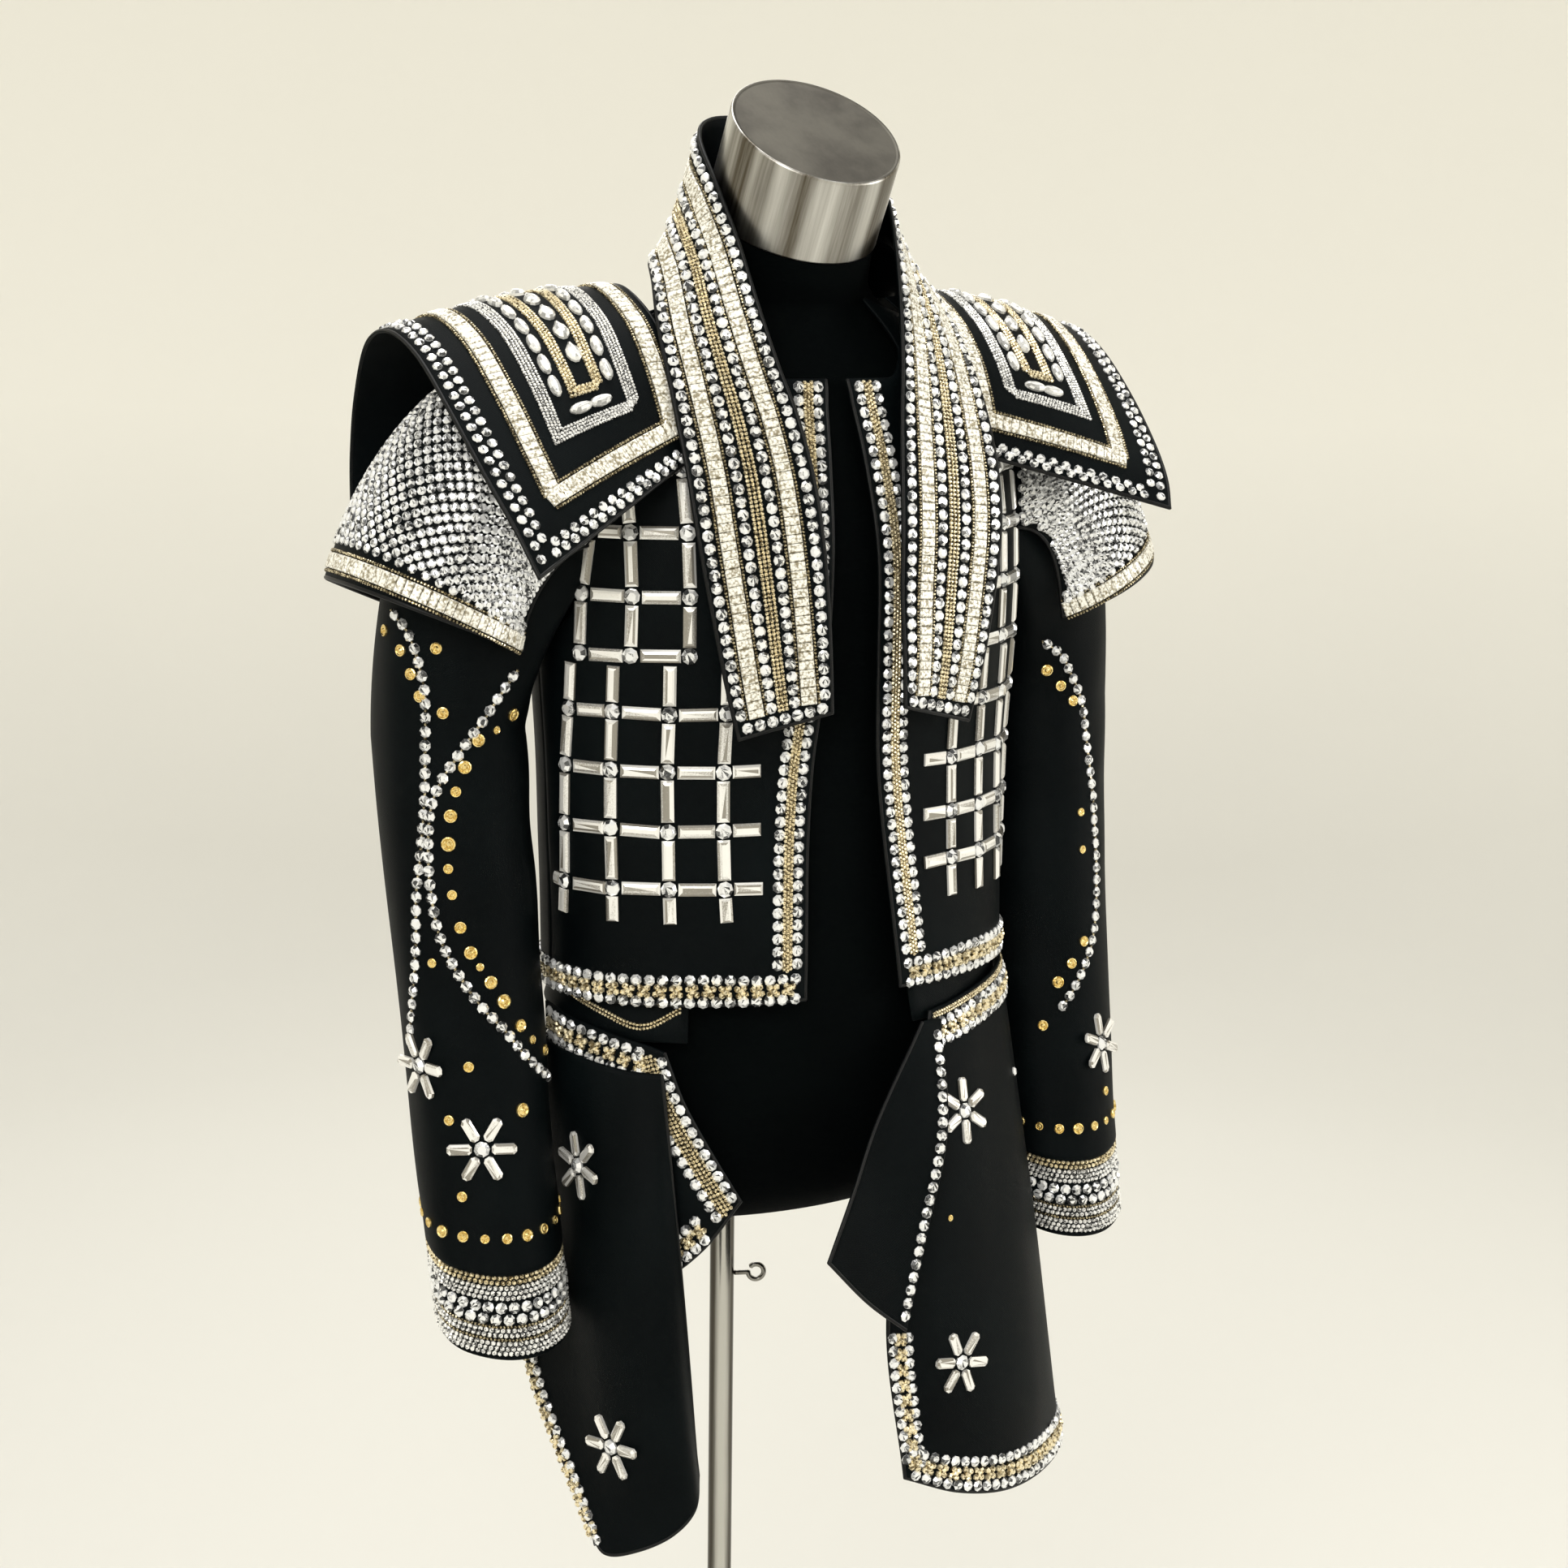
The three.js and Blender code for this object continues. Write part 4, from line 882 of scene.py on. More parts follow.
def cloth_wall(name, panel, thick=CLOTH):
    """A closed wall of cloth: the panel's surface, one thick below it, and rounded rims between."""
    p, n = panel.p, panel.n
    rim = thick * 0.42
    inner = p - n * thick
    top = (p[-1] + inner[-1]) / 2 + unit(p[-1] - p[-2]) * rim
    low = (p[0] + inner[0]) / 2 + unit(p[0] - p[1]) * rim
    rows = np.concatenate([p, top[None], inner[::-1], low[None]])
    down, across = panel.down + 1, panel.across + 1
    columns = across - 1 if panel.closed else across
    ids = np.arange(len(rows) * columns).reshape(len(rows), columns)
    points = rows[:, :columns].reshape(-1, 3)
    if panel.closed:
        ids = np.concatenate([ids, ids[:, :1]], 1)
    ids = np.concatenate([ids, ids[:1]])
    u = np.linspace(0, panel.wide(np.array(0.5)) * MM, across)
    v = np.linspace(0, panel.high(np.array(0.5)) * MM, down)
    v = np.concatenate([v, v[-1:], v[::-1], v[:1], v[:1]])
    grid = np.stack(np.meshgrid(u, v), -1)
    faces, uvs = [quads(ids)], [quads(grid)]
    sides = () if panel.closed else ((0, 1, 1), (across - 1, across - 2, -1))
    for edge, beside_it, turn in sides:
        middle = (p[:, edge] + inner[:, edge]) / 2 + unit(p[:, edge] - p[:, beside_it]) * rim
        mid = len(points) + np.arange(down)
        points = np.concatenate([points, middle])
        out, back_ids = ids[:down, edge], ids[down + 1:2 * down + 1, edge][::-1]
        first = np.stack([out[:-1], out[1:], mid[1:], mid[:-1]], 1)
        second = np.stack([mid[:-1], mid[1:], back_ids[1:], back_ids[:-1]], 1)
        ends = np.array([[mid[-1], out[-1], ids[down, edge], back_ids[-1]],
                         [out[0], mid[0], back_ids[0], ids[2 * down + 1, edge]]])
        strip = np.concatenate([first, second, ends])[:, ::turn]
        faces.append(strip)
        uvs.append(np.broadcast_to(grid[0, edge], (len(strip), 4, 2)))
    faces, uvs = np.concatenate(faces), np.concatenate(uvs)
    if panel.turn < 0:
        faces, uvs = faces[:, ::-1], uvs[:, ::-1]
    return make_piece(name, points, [faces], [CREPE], uv=uvs)


def tube(name, paths, radius, material=PIPING, sides=8):
    """Round cord along paths of places and outward directions: a ring at every point, a tip at both ends."""
    points, squares, fans, start = [], [], [], 0
    turn = full_turn(sides)[:, None]
    for path, out in paths:
        ahead = unit(np.gradient(path, axis=0))
        across = unit(np.cross(ahead, out))
        up = np.cross(across, ahead)
        ring = across[:, None] * np.cos(turn) + up[:, None] * np.sin(turn)
        tips = np.stack([path[0] - ahead[0] * radius * 0.6, path[-1] + ahead[-1] * radius * 0.6])
        points += [(path[:, None] + ring * radius).reshape(-1, 3), tips]
        ids = ring_numbers(len(path), sides, start)
        squares.append(quads(ids)[:, ::-1])
        start += len(path) * sides + 2
        for tip, row, order in ((start - 2, ids[0], 1), (start - 1, ids[-1], -1)):
            fans.append(np.stack([row[:-1], row[1:], np.full(sides, tip)], 1)[:, ::order])
    return make_piece(name, np.concatenate(points), squares + fans, [material])


def lathe(name, rings, materials, kinds=None):
    """Closed rings one above the other joined by squares, with a flat face at both ends."""
    rows, around = rings.shape[:2]
    ids = ring_numbers(rows, around)
    ends = np.stack([ids[0, :-1][::-1], ids[-1, :-1]])
    if kinds is not None:
        kinds = np.concatenate([np.repeat(kinds[:-1], around), [kinds[0], kinds[-1]]])
    return make_piece(name, rings.reshape(-1, 3), [quads(ids), ends], materials, kinds=kinds)


def turned_rings(profile, around):
    """A profile of radius and height turned round the upright axis."""
    turn = full_turn(around)
    radius, height = np.array(profile, float).T
    upright = np.repeat(height[:, None], around, 1)
    return np.stack([np.outer(radius, np.cos(turn)), np.outer(radius, np.sin(turn)), upright], -1)


# Stones
def cut(outline, steps):
    """A stone: its outline drawn in by an inset at each height, with a flat table and a flat floor."""
    around = len(outline)
    half = np.abs(outline).max(0)
    rings = [np.column_stack([outline * (1 - inset / half), np.full(around, height)])
             for inset, height in steps]
    ids = ring_numbers(len(rings), around)
    fan = np.arange(1, around - 1)
    table = ids[-1][np.stack([0 * fan, fan, fan + 1], 1)]
    floor = ids[0][np.stack([0 * fan, fan + 1, fan], 1)]
    return np.concatenate(rings), quads(ids), np.concatenate([table, floor])


def round_outline(count, wide, long, point=0.0):
    """An ellipse, drawn out at one end where point is above 0."""
    turn = (np.arange(count) + 0.5) / count * 2 * np.pi
    x, y = np.cos(turn), np.sin(turn)
    return np.stack([x * long / 2, y * wide / 2 * (1 - point * smooth(x))], 1)


def box_outline(long, wide, corner=0.0):
    """A rectangle with its corners cut off, or plain where corner is 0."""
    a, b, c = long / 2, wide / 2, corner
    if not c:
        return np.array([(a, -b), (a, b), (-a, b), (-a, -b)])
    half = [(a, -b + c), (a, b - c), (a - c, b), (-a + c, b)]
    return np.array(half + [(-x, -y) for x, y in half])


def gem(size):
    """A round stone with eight sides, low and with a wide table."""
    return cut(round_outline(8, size, size), [STONE_FOOT, (0, 0.12 * size), (0.2 * size, 0.34 * size)])


def bead(size):
    """A round bead with six sides."""
    steps = [STONE_FOOT, (0.04 * size, 0.3 * size), (0.25 * size, 0.55 * size)]
    return cut(round_outline(6, size, size), steps)


GEM = gem(6.8)
SMALL_GEM = gem(5.8)
CROSS_GEM = gem(9.4)
NET_GEM = gem(5.5)
SEED = bead(2.6)
LINK = bead(2.1)
GOLD_BEAD = bead(4.3)
CUFF_BEAD = bead(3.1)
BAR = cut(box_outline(BAR_LENGTH, 7.4), [STONE_FOOT, (0, 1.1), (1.2, 2.1), (2.5, 2.6)])
BLOCK = cut(box_outline(4.75, 9.0), [STONE_FOOT, (0, 0.9), (0.7, 1.6)])
OVAL = cut(round_outline(12, 6.8, 14.6), [STONE_FOOT, (0.15, 1.2), (1.0, 2.4), (2.4, 3.0)])
PEAR = cut(round_outline(12, 9.4, 15, 0.75), [STONE_FOOT, (0.15, 1.3), (1.5, 2.7), (3.2, 3.3)])
RAY = cut(box_outline(14.5, 6.2, 1.7), [STONE_FOOT, (0.1, 1.3), (1.3, 2.3)])
STUD = cut(
    round_outline(12, 7.8, 7.8), [STONE_FOOT, (0.1, 1.1), (0.8, 1.5), (1.3, 1.0), (2.2, 1.0), (3.0, 1.7)])

RANDOM = np.random.default_rng(11)


class Spots:
    """Where stones sit: places, directions along the row, outward directions, sizes and stretches."""

    def __init__(self, place, along, out, size=None, stretch=None):
        self.place, self.along, self.out = place, along, out
        self.size = np.ones(len(place)) if size is None else size
        self.stretch = np.ones(len(place)) if stretch is None else stretch

    def moved(self, along=0.0, across=0.0, lift=0.0, size=1.0):
        side = np.cross(self.out, self.along)
        place = self.place + self.along * along + side * across + self.out * lift
        return Spots(place, self.along, self.out, self.size * size, self.stretch)


def joined(*groups):
    """Several groups of spots as one."""
    keys = ("place", "along", "out", "size", "stretch")
    return Spots(*(np.concatenate([getattr(group, key) for group in groups]) for key in keys))


def turned(along, out, angle):
    """Directions turned about the outward one: along cos a + (out x along) sin a."""
    return along * np.cos(angle)[:, None] + np.cross(out, along) * np.sin(angle)[:, None]


def square_to(axis, v):
    """Directions made square to an axis: v - (v . axis) axis, one long."""
    return unit(v - axis * (v * axis).sum(1, keepdims=True))


def line(panel, u, v, pitch, start=0.5, jitter=0.0, count=260):
    """Spots a pitch apart along a line of the panel, measured by its summed length."""
    t = np.linspace(0, 1, count)
    u, v = (np.interp(t, np.linspace(0, 1, np.size(a)), np.atleast_1d(a)) for a in (u, v))
    run = np.linalg.norm(np.diff(panel.at(u, v)[0], axis=0), axis=1)
    run = np.pad(np.cumsum(run), (1, 0))
    number = max(int(round(run[-1] / pitch)), 1)
    s = np.clip((np.arange(number) + start) * run[-1] / number, 0, run[-1])

    def spot(s):
        return panel.at(np.interp(s, run, u), np.interp(s, run, v))

    place, out = spot(s)
    along = square_to(out, spot(np.minimum(s + 1, run[-1]))[0] - spot(np.maximum(s - 1, 0))[0])
    if jitter:
        along = turned(along, out, RANDOM.uniform(-jitter, jitter, number))
    return Spots(place, along, out)


def stones(name, material, *groups):
    """Many stones as one mesh: corner = place + along x + across y + out z, times each one's size."""
    points, fours, threes, start = [], [], [], 0
    for (shape, side, flat), spots in groups:
        across = np.cross(spots.out, spots.along)
        x, y, z = (shape[None, :, k, None] * spots.size[:, None, None] for k in range(3))
        x = x * spots.stretch[:, None, None]
        body = spots.place[:, None] + spots.along[:, None] * x + across[:, None] * y + spots.out[:, None] * z
        points.append(body.reshape(-1, 3))
        first = start + np.arange(len(spots.place))[:, None, None] * len(shape)
        fours.append((side[None] + first).reshape(-1, 4))
        threes.append((flat[None] + first).reshape(-1, 3))
        start += len(spots.place) * len(shape)
    # Painted glint: a random brightness for each facet, standing in for the light the stones catch.
    painted_glint = RANDOM.random(sum(map(len, fours + threes)))
    return make_piece(name, np.concatenate(points), fours + threes, [material], smooth=False, painted_glint=painted_glint)


def inside_edge(panel, edge, distance, span, count):
    """u and v along a line at a distance inside one edge of a panel: left, right, low or top."""
    t = np.linspace(*span, count)
    if edge in ("left", "right"):
        share = distance / panel.wide(t)
        return share if edge == "left" else 1 - share, t
    share = distance / panel.high(t)
    return t, share if edge == "low" else 1 - share


def beside(panel, edge, distance, span, pitch, **more):
    """A row of spots inside one edge of a panel."""
    return line(panel, *inside_edge(panel, edge, distance, span, 120), pitch, **more)


def edge_path(panel, edge, count=160):
    """The path of the piping along one edge."""
    return panel.at(*inside_edge(panel, edge, CORD_INSET, (0, 1), count), -CORD_SINK)


def middle_line(panel, span, count=160):
    """The line of a panel in the plane x = 0: u is read between the samples on both sides of it."""
    u, v = np.linspace(0.3, 0.7, 81), np.linspace(*span, count)
    wide, high = np.meshgrid(u, v)
    x = panel.at(wide.ravel(), high.ravel())[0][:, 0].reshape(wide.shape)
    row, last = np.arange(count), (x > 0).sum(1) - 1
    share = x[row, last] / (x[row, last] - x[row, last + 1])
    return panel.at(u[last] + share * (u[1] - u[0]), v, -SEAM_SINK)


def find(panel, targets):
    """u and v of the points of a panel nearest to places x, z: the best of a fine grid of samples."""
    u, v = (a.ravel() for a in np.meshgrid(np.linspace(0, 1, 260), np.linspace(0, 1, 260)))
    p = panel.at(u, v)[0]
    away = (p[None, :, 0] - targets[:, :1]) ** 2 + (p[None, :, 2] - targets[:, 1:]) ** 2
    best = away.argmin(1)
    return u[best], v[best]


def single(panel, u, v, angle=0.0, lift=0.0):
    """One spot for each u and v, turned from the panel's upward direction by an angle."""
    u, v = np.atleast_1d(np.asarray(u, float)), np.atleast_1d(np.asarray(v, float))
    place, out = panel.at(u, v, lift)
    upward = panel.at(u, np.minimum(v + 0.01, 1))[0] - panel.at(u, np.maximum(v - 0.01, 0))[0]
    return Spots(place, turned(square_to(out, upward), out, np.full(len(u), float(angle))), out)


def stars(panel, table):
    """Six rays round a middle stone at each u, v and turn of a table: the rays, and the middle stones."""
    rays, middles = [], []
    for u, v, turn in table:
        centre = single(panel, u, v, turn)
        out = np.repeat(centre.out, 6, 0)
        along = turned(np.repeat(centre.along, 6, 0), out, np.arange(6) * np.pi / 3)
        rays.append(Spots(np.repeat(centre.place, 6, 0) + along * STAR_REACH, along, out))
        middles.append(centre)
    return (RAY, joined(*rays)), (CROSS_GEM, joined(*middles))


def florets(spots):
    """Four small beads round each spot and one on top."""
    a = FLORET_REACH
    parts = [spots.moved(along=x, across=y) for x, y in ((a, a), (-a, a), (-a, -a), (a, -a))]
    return joined(*parts, spots.moved(lift=0.8))


# Camera and studio
def set_camera():
    """Axes from the yaw and the downward pitch, turned about the line of sight by the roll."""
    away = np.array([np.sin(YAW) * np.cos(PITCH), -np.cos(YAW) * np.cos(PITCH), np.sin(PITCH)])
    side = np.array([np.cos(YAW), np.sin(YAW), 0])
    up = np.cross(away, side)
    right = side * np.cos(ROLL) + up * np.sin(ROLL)
    top = up * np.cos(ROLL) - side * np.sin(ROLL)
    data = bpy.data.cameras.new("camera")
    data.sensor_width = 36
    data.lens = FOCAL_PIXELS / PHOTO_SIZE * data.sensor_width
    data.clip_end = 60
    camera = add_object("camera", data, right, top, away, CAMERA_PLACE)
    bpy.context.scene.camera = camera


def add_object(name, data, *axes_and_place):
    """A camera or light with the columns of its matrix: its three axes and its place."""
    made = bpy.data.objects.new(name, data)
    matrix = np.eye(4)
    matrix[:3] = np.column_stack(axes_and_place)
    made.matrix_world = Matrix(matrix.tolist())
    bpy.context.scene.collection.objects.link(made)
    return made


def add_light(name, place, target_height, size, power, tone):
    """A square soft light that faces a point of the upright axis."""
    data = bpy.data.lights.new(name, "AREA")
    data.shape, data.size, data.energy, data.color = "SQUARE", size, power, tone
    away = unit(np.array(place) - np.array([0, 0, target_height]))
    side = unit(np.cross([0, 0, 1.0], away))
    add_object(name, data, side, np.cross(away, side), away, place)


def set_studio():
    """A floor that rises in one curve into a wall all round, soft lights and a pale world."""
    rise = np.linspace(0, np.pi / 2, 14)[1:]
    radius = np.concatenate([[20, 1500, 3000], 3000 + 2000 * np.sin(rise), [5000]])
    height = np.concatenate([[FLOOR] * 3, 2000 * (1 - np.cos(rise)), [6500]])
    rings = turned_rings(np.column_stack([radius, height]), 96)
    ids = ring_numbers(len(radius), 96)
    make_piece("studio", rings.reshape(-1, 3), [quads(ids), ids[:1, :-1]], [PAPER])
    for light in LIGHTS:
        add_light(*light)
    world = bpy.data.worlds.new("studio")
    world.use_nodes = True
    surface = world.node_tree.nodes["Background"]
    surface.inputs["Color"].default_value = (1.0, 0.985, 0.95, 1)
    surface.inputs["Strength"].default_value = 0.78
    bpy.context.scene.world = world
    bpy.context.scene.view_settings.view_transform = "Standard"


set_camera()
set_studio()


# Cloth
def flat_size(panel):
    """Width and length of a piece laid flat, in metres, with the area of its surface."""
    p = panel.p
    a = np.cross(p[1:, 1:] - p[:-1, :-1], p[1:, :-1] - p[:-1, 1:])
    area = np.linalg.norm(a, axis=2).sum() / 2
    wide = panel.wide(np.linspace(0, 1, 21)).max()
    high = panel.high(np.linspace(0, 1, 21)).max()
    return (round(wide * MM, 3), round(high * MM, 3)), round(min(area, wide * high) * MM * MM, 4)


def sew(name, panel, riding, node=None):
    """One cloth piece: its wall in place of the solid, which is hidden, and its flat size, worked out but not
    kept. The riding argument is not used.
    """
    wall = cloth_wall(f"{name}_cloth", panel)
    stand_in(wall, node or name)
    flat, area = flat_size(panel)


def trims(name, **kinds):
    """One mesh of stones for each kind of trim on a piece."""
    return [stones(f"{name}_{kind}", TRIM_FINISH[kind], *groups) for kind, groups in kinds.items()]


def piping(name, panel, edges, radius=CORD):
    """Piped cord along the named edges of a piece."""
    return [tube(f"{name}_piping", [edge_path(panel, edge) for edge in edges], radius)]


def three_rows(panel, edge, span, distances, gold):
    """White stones, a gold row and white stones at three distances inside an edge."""
    def row(distance, pitch, **more):
        return beside(panel, edge, distance, span, pitch, **more)

    outer, middle, inner = distances
    white = [(GEM, row(distance, EDGE_PITCH, jitter=GEM_TURN)) for distance in (outer, inner)]
    if gold == "mesh":
        steps = (-MESH_STEP, 0, MESH_STEP)
        yellow = [(SEED, row(middle + step, SEED_PITCH, start=0.5 if step else 0.0)) for step in steps]
    elif gold == "wide mesh":
        yellow = [(SEED, row(middle + 2.5 * k - 3.75, 2.6, start=0.5 * (k % 2))) for k in range(4)]
    else:
        yellow = [(GOLD_BEAD, florets(row(middle, 9.4, jitter=FLORET_TURN)))]
    return white, yellow


def borders(panel, *rows):
    """All the white stones, and all the gold, of three rows along each of several edges."""
    white, yellow = zip(*[three_rows(panel, *row) for row in rows])
    return sum(white, []), sum(yellow, [])


def hem_row(panel, start, distance, pitch, jitter):
    """A row at a distance above the hem, from a share of the piece's width to its far side."""
    return line(panel, np.linspace(start, 1, 60), distance / panel.high(0.5), pitch, jitter=jitter)


def hem_stones(panel, start):
    """The two rows of stones above a hem."""
    return [(GEM, hem_row(panel, start, distance, GEM_PITCH, GEM_TURN)) for distance in (2.2, 16)]


def hem_florets(panel, start):
    """The row of gold flowers between them."""
    return [(GOLD_BEAD, florets(hem_row(panel, start, 9.0, 9.5, FLORET_TURN)))]


def ribbons(panel, lines):
    """Bands of pale blocks between two fine chains along lines of a panel: the blocks, and the chains."""
    blocks, links = [], []
    for u, v in lines:
        blocks.append((BLOCK, line(panel, u, v, BLOCK_PITCH)))
        chain = line(panel, u, v, LINK_PITCH)
        links += [(LINK, chain.moved(across=across)) for across in (RIBBON_HALF, -RIBBON_HALF)]
    return blocks, links


# Fronts and back
def lattice(panel, blocks, side):
    """Bars between crossings on a net of heights and widths, with a round stone on every crossing."""
    bars, crossings = [], []
    for block, (rows, columns, (inner, outer)) in enumerate(blocks):
        net = [[(side * x, z) for x in (inner, *columns, outer)] for z in rows]
        for row in net:
            crossings += row[1:-1]
            bars += list(zip(row[:-1], row[1:]))
        for k, x in enumerate(columns):
            column = [row[k + 1] for row in net]
            if block:
                column = [(side * x, blocks[0][0][-1] - 1), *column, (side * x, LATTICE_FOOT)]
            bars += list(zip(column[:-1], column[1:]))
    (a, out_a), (b, out_b) = (panel.at(*find(panel, np.array([bar[k] for bar in bars])), 0.1) for k in (0, 1))
    length = np.linalg.norm(b - a, axis=1)
    a, b, out, length = (each[length > 15] for each in (a, b, unit(out_a + out_b), length))
    along = unit(b - a)
    out = square_to(along, out)
    middle = (a + b) / 2
    place = panel.at(*find(panel, middle[:, [0, 2]]), 0.1)[0]
    stretch = np.clip(length - BAR_GAP, 4, 30) / BAR_LENGTH
    spots = Spots((place + middle) / 2 + out * 0.3, along, out, stretch=stretch)
    return (BAR, spots), (CROSS_GEM, single(panel, *find(panel, np.array(crossings)), 0.3, lift=0.5))


def front_trims(name, panel, blocks, side):
    """Rows along the centre edge and the hem, and the lattice."""
    white, yellow = three_rows(panel, "left", (0.052, 0.998), (6.5, 12.5, 18.5), "mesh")
    white += hem_stones(panel, 0.02)
    yellow += hem_florets(panel, 0.04)
    bars, crossings = lattice(panel, blocks, side)
    made = trims(name, crystals=[*white, crossings], gold_beads=yellow, bars=[bars])
    return made + piping(name, panel, ("left", "low"))


FRONTS = (("front_right", front_right, LATTICE_RIGHT, -1), ("front_left", front_left, LATTICE_LEFT, 1))
for name, panel, blocks, side in FRONTS:
    sew(name, panel, front_trims(name, panel, blocks, side))

back_trims = trims("back", crystals=hem_stones(back, 0)) + trims("back", gold_beads=hem_florets(back, 0))
back_trims += piping("back", back, ("low",))
back_trims.append(tube("back_seam", [middle_line(back, (0.05, 0.97))], SEAM_CORD))
sew("back", back, back_trims)


# Collar
def collar_trims():
    """Rows at shares of the collar's width, all the way round, and a row of stones across both ends."""
    span = np.linspace(0.012, 0.988, 400)
    white = [line(collar, share, span, COLLAR_PITCH, count=700, jitter=GEM_TURN)
             for share in (0.075, 0.375, 0.61, 0.915)]
    across = np.linspace(0.05, 0.95, 40)
    white += [line(collar, across, v, COLLAR_PITCH, jitter=GEM_TURN) for v in (0.0065, 0.9935)]
    blocks, links = ribbons(collar, [(np.full(400, share), span) for share in (0.225, 0.755)])
    gold = [(SEED, line(collar, share, span, SEED_PITCH, count=900)) for share in (0.455, 0.492, 0.529)]
    edges = [edge_path(collar, edge, 400) for edge in ("left", "right")]
    edges += [edge_path(collar, edge, 30) for edge in ("low", "top")]
    crystals = [(GEM, row) for row in white]
    made = trims("collar", crystals=crystals, ribbon=blocks, chain=links, gold_beads=gold)
    return [*made, tube("collar_piping", edges, CORD)]


sew("collar", collar, collar_trims())


def stand_point(u, v):
    """Stand inside the neck: from an oval just inside the body's neck edge up to the collar's inner face."""
    top = collar.at(np.full(len(u), 0.34), mix(0.73, 0.27, u), -3.4)[0]
    middle = np.array([0, NECK_MIDDLE])
    spoke = top[:, :2] - middle
    wide, deep = NECK_OVAL
    reach = 1 / np.sqrt((spoke[:, 0] / wide) ** 2 + (spoke[:, 1] / deep) ** 2)
    foot = np.column_stack([spoke * reach[:, None] + middle, np.full(len(u), STAND_FOOT)])
    return mix(foot, top, v[:, None])


neck_stand = Panel(stand_point, 60, 6)
flat, area = flat_size(neck_stand)
stand_cloth = cloth_wall("collar_stand_cloth", neck_stand, STAND_CLOTH)


# Saddle panels
def frame_lines(panel, corner, ridge, front, inner, inner_ridge=None, reach=0.0):
    """The legs of a frame: along the side edge, along the collar and across the front and back ends.

    The side leg's distance goes from corner to ridge, and the collar leg's from inner to inner_ridge.
    """
    inner_ridge = inner if inner_ridge is None else inner_ridge
    v_low = front / panel.high(0.7)
    v = np.linspace(v_low, 1 - v_low, 80)
    rise = np.sin(np.pi * v)
    outer_u = 1 - mix(corner, ridge, rise) / panel.wide(v)
    inner_u = mix(inner, inner_ridge, rise) / panel.wide(v)
    over = reach / panel.wide(v)
    ends = [(np.linspace(inner_u[k] - over[k], outer_u[k] + over[k], 30), np.full(30, v[k])) for k in (0, -1)]
    return [(outer_u, v), (inner_u, v), *ends]


def mesh_frame(panel, rows, shape, pitch, corner, ridge, front, inner):
    """Rows of small beads side by side round a frame, each one a step inside the last."""
    return [(shape, line(panel, u, v, pitch, start=0.5 * (k % 2)))
            for k, step in enumerate(MESH_STEP * np.arange(rows))
            for u, v in frame_lines(panel, corner + step, ridge + step, front + step, inner - step)]


def saddle_trims(name, panel):
    """Two rows of stones, a ribbon, silver beads, ovals and gold beads, frame within frame, and drops."""
    white = []
    for start, distance in ((0.25, 6.3), (0.75, 12.6)):
        v = np.linspace(distance / 300, 1 - distance / 300, 80)
        outer_u = 1 - distance / panel.wide(v)
        across = np.linspace(0.03, outer_u[0] - 0.04, 40)
        for u_line, v_line in ((outer_u, v), (across, v[0]), (across, v[-1])):
            row = line(panel, u_line, v_line, SADDLE_PITCH, start=start, jitter=GEM_TURN)
            white.append((SMALL_GEM, row))
    blocks, links = ribbons(panel, frame_lines(panel, 31.5, 32.5, 39.5, 9, 12, RIBBON_REACH))
    silver = mesh_frame(panel, 4, LINK, LINK_PITCH, 43.5, 48.8, 69, 35)
    gold = mesh_frame(panel, 3, SEED, SEED_PITCH, 61.8, 68.9, 91.6, 51.5)
    drops = []
    for k, (u, v) in enumerate(frame_lines(panel, 55.2, 61.6, 83, 41.5)):
        off, pitch = (5, 17.0) if k < 2 else (3, 16.5)
        drops.append((OVAL, line(panel, u[off:-off], v[off:-off], pitch)))
    v = np.linspace(106 / panel.high(0.5), 1 - 106 / panel.high(0.5), 40)
    middle = 1 - (74 + 6.5 * np.sin(np.pi * v)) / panel.wide(v)
    drops.append((PEAR, line(panel, middle, v, 19)))
    made = trims(
        name, crystals=white, ribbon=blocks, chain=links, silver_beads=silver, gold_beads=gold, drops=drops)
    return made + piping(name, panel, ("right", "low", "top", "left"))


SADDLES = (("right", saddle_right), ("left", saddle_left))
for word, panel in SADDLES:
    name = f"saddle_{word}"
    sew(name, panel, saddle_trims(name, panel))


# Cap sleeves
def cap_trims(name, panel):
    """A net of stones half a pitch apart both ways, on every second crossing, above a ribbon at the hem."""
    high = panel.high(0.5)
    net = []
    for k in range(int((high - NET_START - 2) / (NET_PITCH / 2))):
        v = (NET_START + k * NET_PITCH / 2) / high
        wide = panel.wide(v)
        along = (np.arange(-20, 21) + 0.5 * (k % 2)) * NET_PITCH
        u = 0.5 + along[np.abs(along) < wide / 2 - 4] / wide
        net.append((NET_GEM, single(panel, u, np.full(len(u), v), NET_TURN)))
    blocks, links = ribbons(panel, [(np.linspace(0.005, 0.995, 60), np.full(60, 10.5 / high))])
    made = trims(name, net=net, ribbon=blocks, chain=links)
    return made + piping(name, panel, ("low", "left", "right"), CAP_CORD)


for word, panel in (("right", cap_right), ("left", cap_left)):
    name = f"cap_{word}"
    sew(name, panel, cap_trims(name, panel), node=f"cap_sleeve_{word}")


# Long sleeves and cuffs
def table_line(panel, table, pitch, **more):
    """A row along the curve through a table of places."""
    u, v = through(np.array(table), np.linspace(0, 1, 200)).T
    return line(panel, u, v, pitch, **more)


